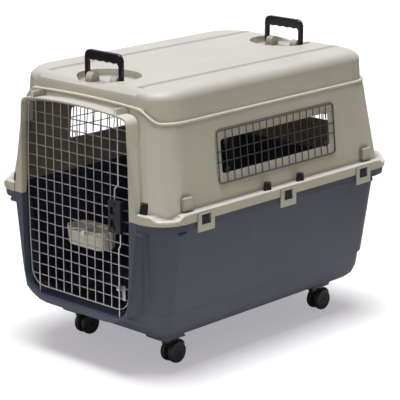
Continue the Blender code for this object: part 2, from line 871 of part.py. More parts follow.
def snap_tabs():
    tabs = []
    for _, sign, y in catch_places():
        x = sorted((sign * (HALF_W - 0.0007), sign * (HALF_W - 0.0007 + SNAP_TAB_THICKNESS)))
        half = SNAP_TAB_WIDTH / 2
        low = SPLIT_Z - SNAP_TAB_DROP
        tabs.append(box((x[0], y - half, low), (x[1], y + half, SPLIT_Z + SNAP_TAB_RISE)))
    return group(*tabs)


def make_lid(material):
    lid = loft(lid_rings())
    levels = (SPLIT_Z - 0.005, SPLIT_Z + FLANGE_PLATE)
    plate = loft([ring(HALF_W, HALF_L, FLANGE_CORNER, z) for z in levels])
    join(lid, plate, flange_band())
    arch = prism(ridge_arch_outline(), -HALF_L, -lid_half_l(RIDGE_Z) + 0.03, seen_from_front)
    shared(arch, loft([lid_wall_ring(z) for z in (RIDGE_Z - 0.02, RIDGE_Z + ARCH_RISE + 0.01)]))
    join(lid, arch)
    join(lid, prism(surround_outline(), FRONT_Y - 0.001, -lid_half_l(HEAD_Z) + 0.012, seen_from_front))
    join(lid, door_ribs(), wall_bosses())
    cut(lid, box((-OUTSIDE, -OUTSIDE, -0.1), (OUTSIDE, OUTSIDE, SPLIT_Z + GAP / 2)))
    cut(lid, lid_cavity())
    posts = end_niches(NICHE_WALL, SPLIT_Z, NICHE_HEIGHT + NICHE_WALL)
    join(lid, shared(posts, loft([lid_wall_ring(z) for z in (SPLIT_Z - 0.01, RIDGE_Z)])))
    cut(lid, end_niches(0.0, BAND_Z - GAP, NICHE_HEIGHT))
    cut(lid, prism(doorway_outline(), -OUTSIDE, -lid_half_l(HEAD_Z) + 0.03, seen_from_front))
    cut(lid, front_trim(), rod_sockets(), roof_grooves())
    for end in (-1, 1):
        levels = ((0.96, 0.0), (1.0, 0.004), (1.03, 0.05))
        cut(lid, loft(dish_rings(dish_y(end), 0.0, DISH_Z, levels, 20)))
    cut(join(lid, pivot_bosses()), pivot_holes())
    cut(lid, *lid_windows())
    join(lid, snap_tabs())
    cut(lid, group(*catch_pockets()), bolt_holes())
    return piece(lid, "upper_shell", material)


# Tub


def rim_ring(z, inward=0.0):
    return ring(HALF_W - RIM_SETBACK - inward, HALF_L - RIM_SETBACK - inward, RIM_CORNER - inward, z)


def make_rim():
    plate = loft([rim_ring(z) for z in (SPLIT_Z - RIM_PLATE, SPLIT_Z + 0.005)])
    skirt = loft([rim_ring(z) for z in (SPLIT_Z - RIM_HEIGHT, SPLIT_Z - RIM_PLATE + 0.001)])
    cut(skirt, loft([rim_ring(z, RIM_SKIRT) for z in (SPLIT_Z - RIM_HEIGHT - 0.01, SPLIT_Z + 0.01)]))
    return join(plate, skirt)


def catch_seats():
    """Solid blocks behind the rim that each catch's foot stands against."""
    seats = []
    for _, sign, y in catch_places():
        inner = sign * (tub_half_w(SPLIT_Z) - 0.01)
        outer = sign * (HALF_W - CATCH_DEPTH)
        x = sorted((inner, outer))
        half = CATCH_WIDTH / 2 + 0.005
        low = SPLIT_Z - RIM_HEIGHT + 0.0005
        seats.append(box((x[0], y - half, low), (x[1], y + half, SPLIT_Z - RIM_PLATE + 0.001)))
    return group(*seats)


def catch_foot_slots():
    """Clears the rim's skirt in front of each catch's foot."""
    slots = []
    half = CATCH_WIDTH / 2 + GAP
    for _, sign, y in catch_places():
        x = sorted((sign * (HALF_W - CATCH_DEPTH), sign * (HALF_W + 0.02)))
        slots.append(box((x[0], y - half, catch_low() - GAP), (x[1], y + half, SPLIT_Z + 0.02)))
    return group(*slots)


def castor_places():
    places = []
    for end, sy in (("front", -1), ("rear", 1)):
        for side, sx in (("right", 1), ("left", -1)):
            places.append((f"{end}_{side}", sx * CASTOR_X, sy * CASTOR_Y))
    return places


def castor_pads():
    pads = []
    for _, x, y in castor_places():
        rings = []
        middle = (x - math.copysign(0.004, x), y)
        for z, grow in ((PAD_Z, 0.0), (PAD_Z + PAD_HEIGHT + 0.012, 0.002)):
            outline = rectangle(PAD_HALF + grow, PAD_HALF + grow, PAD_CORNER, 3, middle)
            rings.append([(a, b, z) for a, b in outline])
        pads.append(loft(rings))
    return group(*pads)


def make_tub(material):
    tub = loft(tub_rings())
    join(tub, castor_pads(), make_rim())
    join(tub, prism(surround_outline(), FRONT_Y - 0.001, -tub_half_l(SILL_Z) + 0.025, seen_from_front))
    cut(tub, loft(tub_rings(WALL, 0.03, 3)))
    join(tub, catch_seats())
    cut(tub, box((-OUTSIDE, -OUTSIDE, SPLIT_Z - GAP / 2), (OUTSIDE, OUTSIDE, ROOF_Z + 0.1)))
    cut(tub, prism(doorway_outline(), -OUTSIDE, -tub_half_l(SILL_Z) + 0.045, seen_from_front))
    cut(tub, front_trim(), rod_sockets(), group(*catch_pockets()), catch_foot_slots(), bolt_holes())
    return piece(tub, "lower_tub", material)


# Wire door and latch


def door_rows():
    low = SILL_Z + DOOR_SILL_GAP
    high = head_z(DOORWAY_HALF * 0.93) - DOOR_HEAD_GAP
    count = round((high - low) / MESH_PITCH_Z)
    top = low + count * MESH_PITCH_Z
    if top > high - 0.006:
        count -= 1
    return [low + MESH_PITCH_Z * (row + 1) for row in range(count)]


def guide_height():
    return door_rows()[1]


def door_guide():
    """A block on the mesh that the lower latch rod slides through, with a tall bracket beside it."""
    half = LATCH_ROD + 0.0032
    front = ROD_Y - LATCH_ROD - 0.0022
    low = guide_height() - GUIDE_HEIGHT / 2
    guide = box((ROD_X - half, front, low), (ROD_X + half, DOOR_Y + LAYER, low + GUIDE_HEIGHT))
    left = ROD_X + LATCH_ROD + 0.0015
    foot = guide_height() - BRACKET_DROP - BRACKET_HEIGHT / 2
    far = (left + BRACKET_WIDTH, DOOR_Y + LAYER - 0.0004, foot + BRACKET_HEIGHT)
    return join(guide, box((left, DOOR_Y - 0.001, foot), far))


def make_door(material):
    outline = doorway_outline(DOOR_MARGIN, DOOR_SILL_GAP, DOOR_HEAD_GAP, 3)
    frame = wire([(x, DOOR_Y, z) for x, z in outline], FRAME_WIRE, closed=True)
    low = SILL_Z + DOOR_SILL_GAP
    columns = []
    reach = int((DOORWAY_HALF - DOOR_EDGE) / MESH_PITCH_X)
    for column in range(-reach, reach + 1):
        x = MESH_PITCH_X * column
        high = head_z(x) - DOOR_HEAD_GAP
        columns.append(wire([(x, DOOR_Y, low), (x, DOOR_Y, high)], WIRE))
    rows = []
    for z in door_rows():
        reach = doorway_half(z) - DOOR_MARGIN + WIRE
        corner = head_z(DOORWAY_HALF) - DOOR_HEAD_GAP - DOORWAY_TOP_CORNER
        if z > corner:
            reach -= (z - corner) * 0.45
        low_curve = DOORWAY_LOW_CORNER - DOOR_MARGIN
        rise = z - low
        if rise < low_curve:
            reach -= low_curve - math.sqrt(low_curve**2 - (low_curve - rise) ** 2)
        y = DOOR_Y + LAYER
        rows.append(wire([(-reach, y, z), (reach, y, z)], WIRE))
    door = join(frame, group(*columns))
    join(door, group(*rows))
    top = head_z(ROD_X) + SOCKET_DEPTH
    join(door, cylinder((-ROD_X, DOOR_Y, 0), HINGE_ROD, SILL_Z - ROD_BELOW_SILL, top, sides=8))
    join(door, door_guide())
    bore = (guide_height() - GUIDE_HEIGHT, guide_height() + GUIDE_HEIGHT)
    cut(door, cylinder((ROD_X, ROD_Y, 0), LATCH_ROD + RUN, bore[0], bore[1], sides=8))
    return piece(door, "door_grille", material, (-ROD_X, DOOR_Y, SILL_Z))


def latch_z():
    return SPLIT_Z + LATCH_ABOVE_SPLIT


def latch_front():
    return ROD_Y - LATCH_ROD - LATCH_WALL - 0.0036


def latch_back():
    return DOOR_Y - WIRE - 0.0006


def tab_levels():
    """The lower edges of the lower and the upper finger tab when drawn together."""
    gap = DIVIDER / 2 + GAP + SPRING_LENGTH + GAP
    return latch_z() - gap - TAB_THICKNESS, latch_z() + gap


UPPER_ROD_X = LATCH_X - 0.004
LOWER_ROD_X = LATCH_X + 0.0125


def make_latch_case(material):
    half_x = LATCH_WIDTH / 2
    half_z = LATCH_HEIGHT / 2
    z = latch_z()
    front = latch_front()
    back = latch_back()
    case = box((LATCH_X - half_x, front, z - half_z), (LATCH_X + half_x, back, z + half_z))
    inner_x = half_x - LATCH_WALL
    inner_z = half_z - LATCH_WALL
    near = (LATCH_X - inner_x, front + LATCH_WALL, z - inner_z)
    cut(case, box(near, (LATCH_X + inner_x, back + 0.01, z + inner_z)))
    divider = box(
        (LATCH_X - inner_x - 0.0005, front + 0.0005, z - DIVIDER / 2),
        (LOWER_ROD_X - LATCH_ROD - 0.001, back - 0.0005, z + DIVIDER / 2),
    )
    join(case, divider)
    low_tab, high_tab = tab_levels()
    slot_half = TAB_WIDTH / 2 + RUN
    slots = [(low_tab - LATCH_TRAVEL - RUN, low_tab + TAB_THICKNESS + RUN)]
    slots.append((high_tab - RUN, high_tab + TAB_THICKNESS + LATCH_TRAVEL + RUN))
    face = front + LATCH_WALL + 0.0004
    for low, high in slots:
        cut(case, box((UPPER_ROD_X - slot_half, front - 0.01, low), (UPPER_ROD_X + slot_half, face, high)))
    gate = LATCH_ROD + RUN
    gates = [(UPPER_ROD_X, half_z - 0.004, half_z + 0.01), (LOWER_ROD_X, -half_z - 0.01, 0.004 - half_z)]
    for x, low, high in gates:
        cut(case, box((x - gate, ROD_Y - gate, z + low), (x + gate, back + 0.01, z + high)))
    return piece(case, "latch_case", material)


def make_latch_back(material):
    half_x = LATCH_WIDTH / 2 - 0.002
    half_z = LATCH_HEIGHT / 2 - 0.002
    z = latch_z()
    low = DOOR_Y + LAYER + WIRE + GAP
    plate = box((LATCH_X - half_x, low, z - half_z), (LATCH_X + half_x, low + 0.0022, z + half_z))
    gaps = [row + MESH_PITCH_Z / 2 for row in door_rows()]
    gaps = [height for height in gaps if abs(height - z) < half_z - 0.004]
    posts = []
    for height in (gaps[0], gaps[-1]):
        x = LATCH_X - LATCH_WIDTH / 2 + LATCH_WALL + GAP + 0.0025
        front = latch_front() + LATCH_WALL + GAP
        posts.append(cylinder((x, 0, height), 0.0024, front, low + 0.001, axis="Y", sides=8))
    join(plate, group(*posts))
    return piece(plate, "latch_back", material)


def make_latch_rods(material):
    low_tab, high_tab = tab_levels()
    low_tab -= LATCH_TRAVEL
    high_tab += LATCH_TRAVEL
    bend = 0.010
    case_top = latch_z() + LATCH_HEIGHT / 2
    case_low = latch_z() - LATCH_HEIGHT / 2
    top = head_z(ROD_X) + SOCKET_DEPTH - 0.001
    half = TAB_WIDTH / 2
    front = latch_front() - TAB_STAND
    inner = ROD_Y - LATCH_ROD * 0.4
    path = [(UPPER_ROD_X, ROD_Y, high_tab + 0.001), (UPPER_ROD_X, ROD_Y, case_top + 0.025)]
    path += [(ROD_X, ROD_Y, case_top + 0.025 + bend), (ROD_X, ROD_Y, top)]
    upper = rod(path, LATCH_ROD)
    tab = box((UPPER_ROD_X - half, front, high_tab), (UPPER_ROD_X + half, inner, high_tab + TAB_THICKNESS))
    join(upper, tab)
    piece(upper, "latch_rod_upper", material, (ROD_X, ROD_Y, top))
    low = SILL_Z - ROD_BELOW_SILL
    path = [(ROD_X, ROD_Y, low), (ROD_X, ROD_Y, case_low - 0.025 - bend)]
    path += [(LOWER_ROD_X, ROD_Y, case_low - 0.025), (LOWER_ROD_X, ROD_Y, low_tab + TAB_THICKNESS - 0.001)]
    lower = rod(path, LATCH_ROD)
    tab = box((UPPER_ROD_X - half, front, low_tab), (UPPER_ROD_X + half, inner, low_tab + TAB_THICKNESS))
    arm = box(
        (UPPER_ROD_X, latch_front() + LATCH_WALL + 0.001, low_tab),
        (LOWER_ROD_X + 0.0006, inner + 0.0006, low_tab + TAB_THICKNESS - 0.0005),
    )
    join(lower, tab, arm)
    piece(lower, "latch_rod_lower", material, (ROD_X, ROD_Y, low))


def make_latch_springs(material):
    low_tab, high_tab = tab_levels()
    y = (latch_front() + LATCH_WALL + latch_back()) / 2
    spans = {"latch_spring_upper": (latch_z() + DIVIDER / 2 + GAP, high_tab + LATCH_TRAVEL - GAP)}
    foot = low_tab - LATCH_TRAVEL + TAB_THICKNESS
    spans["latch_spring_lower"] = (foot + GAP, latch_z() - DIVIDER / 2 - GAP)
    for name, (low, high) in spans.items():
        coil = cylinder((UPPER_ROD_X, y, 0), 0.0028, low, high, sides=10)
        cut(coil, cylinder((UPPER_ROD_X, y, 0), 0.0018, low - 0.01, high + 0.01, sides=10))
        piece(coil, name, material)


def make_bowl(material):
    """A double dish with a raised division, hooked over a row of the door's mesh."""
    rows = [row for row in door_rows() if row < SPLIT_Z - 0.045]
    hook_z = rows[-1] + WIRE + GAP
    rim_z = hook_z + HOOK_THICKNESS
    low = rim_z - BOWL_HEIGHT
    near = DOOR_Y + LAYER + WIRE + BOWL_STAND_OFF
    middle = near + BOWL_DEPTH / 2
    rings = []
    half_b = BOWL_DEPTH / 2
    levels = [(low, 0.006), (low + 0.004, 0.0035)]
    levels += [(rim_z - 0.008, 0.001), (rim_z - 0.0075, 0.0), (rim_z, 0.0)]
    for z, inset in levels:
        outline = rectangle(BOWL_HALF - inset, half_b - inset, BOWL_CORNER - inset, 4, (0.0, middle))
        rings.append([(a, b, z) for a, b in outline])
    bowl = loft(rings)
    cups = []
    for sign in (-1, 1):
        centre = sign * BOWL_HALF / 2
        half = BOWL_HALF / 2 - BOWL_WALL
        rings = []
        floor = low + BOWL_WALL
        for z, inset in ((floor, 0.008), (floor + 0.006, 0.0035), (rim_z + 0.01, -0.0005)):
            corner = BOWL_CORNER - BOWL_WALL - inset / 2
            outline = rectangle(half - inset, half_b - BOWL_WALL - inset, corner, 4, (centre, middle))
            rings.append([(a, b, z) for a, b in outline])
        cups.append(loft(rings))
    cut(bowl, group(*cups))
    x = MESH_PITCH_X / 2
    half = HOOK_WIDTH / 2
    far = DOOR_Y + LAYER - WIRE - GAP
    top = (near + 0.002, far - HOOK_THICKNESS)
    hook = box((x - half, top[1], hook_z), (x + half, top[0], rim_z - 0.0004))
    join(hook, box((x - half, top[1], hook_z - 0.008), (x + half, far, hook_z + 0.001)))
    join(bowl, hook)
    return piece(bowl, "bowl", material)


# Window grilles


def make_window_grille(name, side, material):
    half_a = window_length(side) / 2
    half_b = WINDOW_HEIGHT / 2
    back = -WINDOW_RECESS + GAP + WIRE
    front = back + LAYER
    facing = Vector((0.0, 0.0, 1.0))
    outline = rectangle(half_a, half_b, WINDOW_CORNER, 2)
    frame = wire([(a, b, front) for a, b in outline], WIRE + 0.0002, facing, closed=True)
    count = int((half_a * 2 - 0.012) / WINDOW_PITCH)
    columns = []
    for column in range(count):
        a = WINDOW_PITCH * (column - (count - 1) / 2)
        columns.append(wire([(a, -half_b, front), (a, half_b, front)], WIRE, facing))
    rows = []
    for sign in (-1, 1):
        b = sign * WINDOW_ROW_PITCH / 2
        reach = half_a + WIRE
        rows.append(wire([(-reach, b, back), (reach, b, back)], WIRE, facing))
    grille = join(frame, group(*columns), group(*rows))
    return piece(moved(grille, wall_matrix(side)), name, material)


# Roof handles


def handle_outline():
    """Seen from the front: two legs and a grip with finger waves on its underside."""
    half = HANDLE_WIDTH / 2
    inner = half - HANDLE_LEG
    top = HANDLE_HEIGHT
    foot = HANDLE_LEG / 2
    under = top - HANDLE_GRIP
    outline = []
    for angle in (180, 225, 270, 315, 360):
        a = math.radians(angle)
        outline.append((half - foot + foot * math.cos(a), foot * math.sin(a)))
    for angle in (0, 30, 60, 90):
        a = math.radians(angle)
        outline.append((half - HANDLE_CORNER * (1 - math.cos(a)), top - HANDLE_CORNER * (1 - math.sin(a))))
    outline.append((0.0, top))
    right_side = list(outline[:-1])
    outline += [(-a, b) for a, b in reversed(right_side)]
    waves = [(-inner, under - 0.006)]
    steps = HANDLE_WAVES * 4
    for step in range(steps + 1):
        share = step / steps
        a = -inner + 0.004 + (2 * inner - 0.008) * share
        waves.append((a, under - HANDLE_WAVE * math.sin(math.pi * HANDLE_WAVES * share) ** 2))
    return outline + waves + [(inner, under - 0.006)]


def make_handle(name, end, material):
    half = HANDLE_THICKNESS / 2
    y = end * HANDLE_Y
    shape = [(a, PIVOT_Z + b) for a, b in handle_outline()]
    bm = bmesh.new()
    face = bm.faces.new([bm.verts.new((a, y - half, b)) for a, b in shape])
    made = bmesh.ops.extrude_face_region(bm, geom=[face])
    moved_verts = [item for item in made["geom"] if isinstance(item, bmesh.types.BMVert)]
    bmesh.ops.translate(bm, vec=(0.0, HANDLE_THICKNESS, 0.0), verts=moved_verts)
    handle = solid(bm)
    inner = HANDLE_WIDTH / 2 - HANDLE_LEG
    pins = []
    for side in (-1, 1):
        x = sorted((side * (inner + 0.003), side * (inner - PIVOT_BOSS_WIDTH * 0.6)))
        pins.append(cylinder((0, y, PIVOT_Z), PIVOT_RADIUS, x[0], x[1], axis="X", sides=10))
    join(handle, group(*pins))
    return piece(handle, name, material, (0.0, y, PIVOT_Z))


# Catches, bolts and nuts


def make_catches(material):
    low = catch_low()
    back = HALF_W - CATCH_DEPTH + GAP
    face = back + CATCH_THICKNESS
    tip = HALF_W + 0.0008
    half = CATCH_WIDTH / 2
    high = low + CATCH_HEIGHT
    for spot, sign, y in catch_places():
        x = sorted((sign * back, sign * face))
        catch = box((x[0], y - half, low), (x[1], y + half, high))
        x = sorted((sign * (face - 0.001), sign * tip))
        ribs = []
        for rib in range(CATCH_RIBS):
            middle = y + (rib - (CATCH_RIBS - 1) / 2) * CATCH_WIDTH / (CATCH_RIBS + 0.5)
            ribs.append(box((x[0], middle - 0.0012, low + 0.004), (x[1], middle + 0.0012, high - 0.003)))
        join(catch, group(*ribs))
        piece(catch, f"catch_{spot}", material, (sign * back, y, low))


def make_fasteners(nut_material, bolt_material):
    for spot, x, y in bolt_places():
        nut_low = BAND_Z + GAP
        half = NUT_DIAMETER / 2
        levels = ((half, 0.0), (half, 0.82), (half * 0.93, 0.94), (half * 0.84, 1.0))
        nut = turned((x, y), [(radius, nut_low + NUT_HEIGHT * share) for radius, share in levels], 8)
        depth = NUT_HEIGHT * 0.7
        cut(nut, cylinder((x, y, 0), BOLT_RADIUS + GAP, nut_low - 0.01, nut_low + depth, sides=8))
        piece(nut, f"nut_{spot}", nut_material)
        head_top = SPLIT_Z - RIM_PLATE - GAP
        head = cylinder((x, y, 0), BOLT_HEAD_RADIUS, head_top - BOLT_HEAD_HEIGHT, head_top, sides=6)
        join(head, cylinder((x, y, 0), BOLT_RADIUS, head_top - 0.001, nut_low + depth - 0.001, sides=8))
        piece(head, f"bolt_{spot}", bolt_material)


# Castors


def hood_top():
    return PAD_Z - GAP - CASTOR_PLATE_THICKNESS - HOOD_GAP


def lever_axis(x, y):
    return (x, y + CASTOR_TRAIL + 0.0025, hood_top() - LEVER_BARREL - 0.0006)


def make_hood(spot, x, y, with_lugs, material):
    axle = (y + CASTOR_TRAIL, WHEEL_DIAMETER / 2)
    inner = WHEEL_DIAMETER / 2 + WHEEL_CLEARANCE
    outer = inner + HOOD_SKIN
    cover = arc(axle, outer, 28, 142, 6) + list(reversed(arc(axle, inner, 28, 142, 6)))
    hood = prism(cover, x - HOOD_HALF_WIDTH, x + HOOD_HALF_WIDTH, seen_from_side)
    top = hood_top()
    web = [(y - 0.009, top - 0.006), (y - 0.009, top - 0.013), (axle[0] - 0.012, axle[1] - 0.002)]
    web += [(axle[0] - 0.007, axle[1] - 0.010), (axle[0] + 0.007, axle[1] - 0.010)]
    web.append((axle[0] + 0.012, axle[1] - 0.002))
    web += arc(axle, inner + HOOD_SKIN / 2, 25, 95, 3)
    web += [(y + 0.009, top - 0.004)]
    join(hood, prism(web, x - HOOD_WEB / 2, x + HOOD_WEB / 2, seen_from_side))
    join(hood, cylinder((x, y, 0), 0.0105, top - 0.0105, top, sides=12))
    if with_lugs:
        _, hinge_y, hinge_z = lever_axis(x, y)
        for side in (-1, 1):
            span = sorted((x + side * 0.0092, x + side * 0.0125))
            near = (span[0], hinge_y - 0.0035, hinge_z - 0.006)
            join(hood, box(near, (span[1], hinge_y + 0.003, hinge_z + 0.0026)))
        cut(hood, cylinder((0, hinge_y, hinge_z), 0.0016, x - 0.02, x + 0.02, axis="X", sides=6))
    cut(hood, cylinder((x, y, 0), STEM_RADIUS + RUN, top - 0.008, top + 0.01, sides=10))
    cut(hood, cylinder((0, axle[0], axle[1]), AXLE_RADIUS + GAP, x - 0.02, x + 0.02, axis="X", sides=8))
    return piece(hood, f"castor_hood_{spot}", material, (x, y, top))


def make_wheel(name, centre_x, side, axle, material):
    """A wheel with chamfered tread and a face that is dished round the hub."""
    half = WHEEL_WIDTH / 2
    radius = WHEEL_DIAMETER / 2
    bore = AXLE_RADIUS + GAP
    outline = [(bore, -half), (radius - 0.001, -half), (radius, -half + 0.0015), (radius, half - 0.0015)]
    outline += [(radius - 0.001, half), (radius * 0.72, half - 0.0018), (bore, half - 0.0018)]
    wheel = turned_ring(axle, [(r, centre_x + side * x) for r, x in outline], 16)
    return piece(wheel, name, material, (centre_x, axle[0], axle[1]))


def make_lever(spot, x, y, material):
    _, hinge_y, hinge_z = lever_axis(x, y)
    barrel = LEVER_BARREL
    tip = hinge_y + LEVER_LENGTH
    shape = [(hinge_y, hinge_z + barrel), (hinge_y, hinge_z - barrel * 0.2)]
    shape.append((tip - 0.004, hinge_z - 0.0012))
    shape += [(tip, hinge_z + 0.0004), (tip, hinge_z + 0.0018), (tip - 0.006, hinge_z + barrel)]
    lever = prism(shape, x - 0.0088, x + 0.0088, seen_from_side)
    root = hinge_y + 0.006
    blade = shape[2:] + [(root, hinge_z + barrel), (root, hinge_z - 0.0008)]
    join(lever, prism(blade, x - LEVER_HALF_WIDTH, x + LEVER_HALF_WIDTH, seen_from_side))
    join(lever, cylinder((0, hinge_y, hinge_z), barrel, x - 0.0086, x + 0.0086, axis="X", sides=10))
    join(lever, cylinder((0, hinge_y, hinge_z), 0.0012, x - 0.0118, x + 0.0118, axis="X", sides=6))
    return piece(lever, f"brake_lever_{spot}", material, (x, hinge_y, hinge_z))


def make_castors(black, rubber):
    for spot, x, y in castor_places():
        plate_low = PAD_Z - GAP - CASTOR_PLATE_THICKNESS
        plate = cylinder((x, y, 0), CASTOR_PLATE_RADIUS, plate_low, PAD_Z - GAP, sides=16)
        stem_low = hood_top() - 0.0072
        join(plate, cylinder((x, y, 0), STEM_RADIUS, stem_low, plate_low + 0.001, sides=10))
        piece(plate, f"castor_plate_{spot}", black)
        front = y < 0
        make_hood(spot, x, y, front, black)
        axle = (y + CASTOR_TRAIL, WHEEL_DIAMETER / 2)
        offset = HOOD_WEB / 2 + WHEEL_SIDE_GAP + WHEEL_WIDTH / 2
        reach = offset + WHEEL_WIDTH / 2 - 0.0002
        pin = cylinder((0, axle[0], axle[1]), AXLE_RADIUS, x - reach, x + reach, axis="X", sides=8)
        piece(pin, f"castor_axle_{spot}", black, (x, axle[0], axle[1]))
        for label, side in (("a", -1), ("b", 1)):
            make_wheel(f"castor_wheel_{spot}_{label}", x + side * offset, side, axle, rubber)
        if front:
            make_lever(spot, x, y, black)


def main():
    clear_scene()
    cream = finish("cream plastic", (0.56, 0.54, 0.47), 0.45)
    slate = finish("slate plastic", (0.07, 0.075, 0.088), 0.5)
    black = finish("black plastic", (0.012, 0.012, 0.014), 0.45)
    rubber = finish("wheel plastic", (0.018, 0.018, 0.02), 0.55)
    wire_steel = finish("bright wire", (0.62, 0.62, 0.63), 0.28, 1.0)
    grey = finish("grey plastic", (0.05, 0.05, 0.06), 0.5)
    steel = finish("zinc steel", (0.45, 0.45, 0.46), 0.4, 1.0)
    make_lid(cream)
    make_tub(slate)
    make_door(wire_steel)
    make_latch_case(grey)
    make_latch_back(grey)
    make_latch_rods(wire_steel)
    make_latch_springs(steel)
    make_bowl(cream)
    grilles = {"side_grille_right": "right", "side_grille_left": "left", "rear_grille": "rear"}
    for name, side in grilles.items():
        make_window_grille(name, side, wire_steel)
    make_handle("handle_front", -1, black)
    make_handle("handle_rear", 1, black)
    make_catches(slate)
    make_fasteners(black, steel)
    make_castors(black, rubber)


main()
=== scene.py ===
# %% [markdown]
# # A rolling dog travel crate
# The crate is a dark moulded tub under a cream moulded lid, with a wire door, wire windows, two folding
# handles and four castors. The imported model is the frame: it says where each part is and how it moves. Each
# step below gives one part the look of the real one, on the body that carries it.

import math

import bmesh
import bpy
from mathutils import Matrix, Vector


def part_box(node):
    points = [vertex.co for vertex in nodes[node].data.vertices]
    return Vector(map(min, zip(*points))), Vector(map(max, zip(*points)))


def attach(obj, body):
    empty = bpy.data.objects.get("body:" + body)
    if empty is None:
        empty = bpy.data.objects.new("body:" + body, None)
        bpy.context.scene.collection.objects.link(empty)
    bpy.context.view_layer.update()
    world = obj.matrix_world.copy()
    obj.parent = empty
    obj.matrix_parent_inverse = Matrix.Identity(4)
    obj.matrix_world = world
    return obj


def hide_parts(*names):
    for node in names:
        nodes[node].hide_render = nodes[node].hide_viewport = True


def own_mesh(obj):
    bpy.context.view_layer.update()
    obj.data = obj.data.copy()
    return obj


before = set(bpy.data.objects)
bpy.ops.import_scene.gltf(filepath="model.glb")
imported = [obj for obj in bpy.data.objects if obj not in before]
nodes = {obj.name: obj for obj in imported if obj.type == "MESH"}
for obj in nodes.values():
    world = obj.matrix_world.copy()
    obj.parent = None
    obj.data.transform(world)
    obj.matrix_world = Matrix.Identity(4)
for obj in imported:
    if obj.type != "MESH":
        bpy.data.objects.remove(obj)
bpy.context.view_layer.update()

# %% [markdown]
# ## Camera
# A picture of an object this size is taken from a few metres away with a long lens, which keeps the upright
# edges nearly parallel. The place and turn were solved from matched corners, so they are written as
# numbers.

# %% Camera
lens = bpy.data.cameras.new("camera")
lens.lens = 164.36
lens.sensor_width = 36.0
camera = bpy.data.objects.new("camera", lens)
camera.location = (2.7777, -2.9400, 1.4153)
camera.rotation_euler = (math.radians(74.542), 0.0, math.radians(43.327))
bpy.context.scene.collection.objects.link(camera)
bpy.context.scene.camera = camera
bpy.context.scene.view_settings.view_transform = "Standard"
print("camera", round(camera.location.length, 2), "m from the crate's foot")

# %% [markdown]
# ## Writing shaders as sums
# A finish is a small calculation: a tone, plus some grain, times some wear. Wiring each Math node by hand
# hides that. The class below wraps a socket, so that plus and times add the Math node that they mean.
# Colours go through Mix nodes instead, because a Math node would turn a colour grey.


# %% A socket that can be calculated with
class Signal:
    """An output socket of a node, with the sums that can be made from it."""

    def __init__(self, board, socket):
        self.board = board
        self.socket = socket

    def maths(self, operation, first, second):
        return self.board.node("ShaderNodeMath", {"operation": operation}, {0: first, 1: second})

    def __add__(self, other):
        return self.maths("ADD", self, other)

    def __sub__(self, other):
        return self.maths("SUBTRACT", self, other)

    def __rsub__(self, other):
        return self.maths("SUBTRACT", other, self)

    def __mul__(self, other):
        return self.maths("MULTIPLY", self, other)

    __radd__ = __add__
    __rmul__ = __mul__


# %% One way to add any node
class Board:
    """A node tree, of a material or of the world."""

    def __init__(self, tree):
        self.tree = tree

    def feed(self, socket, value):
        if isinstance(value, Signal):
            self.tree.links.new(value.socket, socket)
        else:
            socket.default_value = value

    def node(self, kind, settings=None, values=None, out=0):
        made = self.tree.nodes.new(kind)
        for key, value in (settings or {}).items():
            setattr(made, key, value)
        for key, value in (values or {}).items():
            self.feed(made.inputs[key], value)
        return Signal(self, made.outputs[out])

    def vectors(self, operation, first, second=(0.0, 0.0, 0.0), out="Value"):
        return self.node("ShaderNodeVectorMath", {"operation": operation}, {0: first, 1: second}, out)

    def place(self, stretch=(1.0, 1.0, 1.0)):
        where = self.node("ShaderNodeTexCoord", out="Object")
        return self.node("ShaderNodeMapping", {}, {"Vector": where, "Scale": stretch})

    def noise(self, scale, detail=2.0, stretch=(1.0, 1.0, 1.0)):
        values = {"Vector": self.place(stretch), "Scale": scale, "Detail": detail}
        return self.node("ShaderNodeTexNoise", {}, values, "Fac")

    def softened_edges(self, radius):
        """The rounded normal near crisp edges, and the piece's own smooth normal everywhere else."""
        round_way = self.node("ShaderNodeBevel", {"samples": 6}, {"Radius": radius})
        own_way = self.node("ShaderNodeNewGeometry", out="Normal")
        agree = self.vectors("DOT_PRODUCT", round_way, own_way)
        near_edge = self.step(1.0 - agree, 0.025, 0.075)
        kind = {"data_type": "VECTOR"}
        return self.node("ShaderNodeMix", kind, {0: near_edge, 4: own_way, 5: round_way}, 1)

    def step(self, value, low, high):
        spread = {"Value": value, "From Min": low, "From Max": high}
        return self.node("ShaderNodeMapRange", {"clamp": True}, spread)

    def mix(self, share, first, second):
        kind = {"data_type": "RGBA", "blend_type": "MIX"}
        ends = [end if isinstance(end, Signal) else (*end, 1.0) for end in (first, second)]
        return self.node("ShaderNodeMix", kind, {0: share, 6: ends[0], 7: ends[1]}, 2)

    def bump(self, height, depth, strength=1.0, under=None):
        values = {"Height": height, "Distance": depth, "Strength": strength}
        if under is not None:
            values["Normal"] = under
        return self.node("ShaderNodeBump", {}, values)


class Finish(Board):
    """A material that paints its own surface shader."""

    def __init__(self, name):
        self.material = bpy.data.materials.new(name)
        self.material.use_nodes = True
        super().__init__(self.material.node_tree)
        self.shader = self.tree.nodes["Principled BSDF"]

    def paint(self, **sockets):
        for name, value in sockets.items():
            self.feed(self.shader.inputs[name.replace("_", " ").title()], value)
        return self.material


print("shader helpers ready")

# %% [markdown]
# ## Shade in the corners and inside
# Shade is painted into the colour where two walls of a moulding meet, where little light gets in. The Ambient
# Occlusion node finds such places by asking how much open sky a point sees. Inside the crate the colour is
# painted darker too, as the shade of a cabin that the lamps hardly reach. The inside could be a material of
# its own on picked faces, but one finish that asks which way a face looks needs no list of faces, and still
# fits after the shell changes.

# %% Shade in the corners and inside
CABIN_MIDDLE = (0.0, 0.0, 0.36)
SURROUND_BACK = (-0.372, -0.366)
# How much darker the painted shade inside the cabin is.
CABIN_SHADE_TONE = (0.72, 0.67, 0.66)
SKY_REACH = 0.012


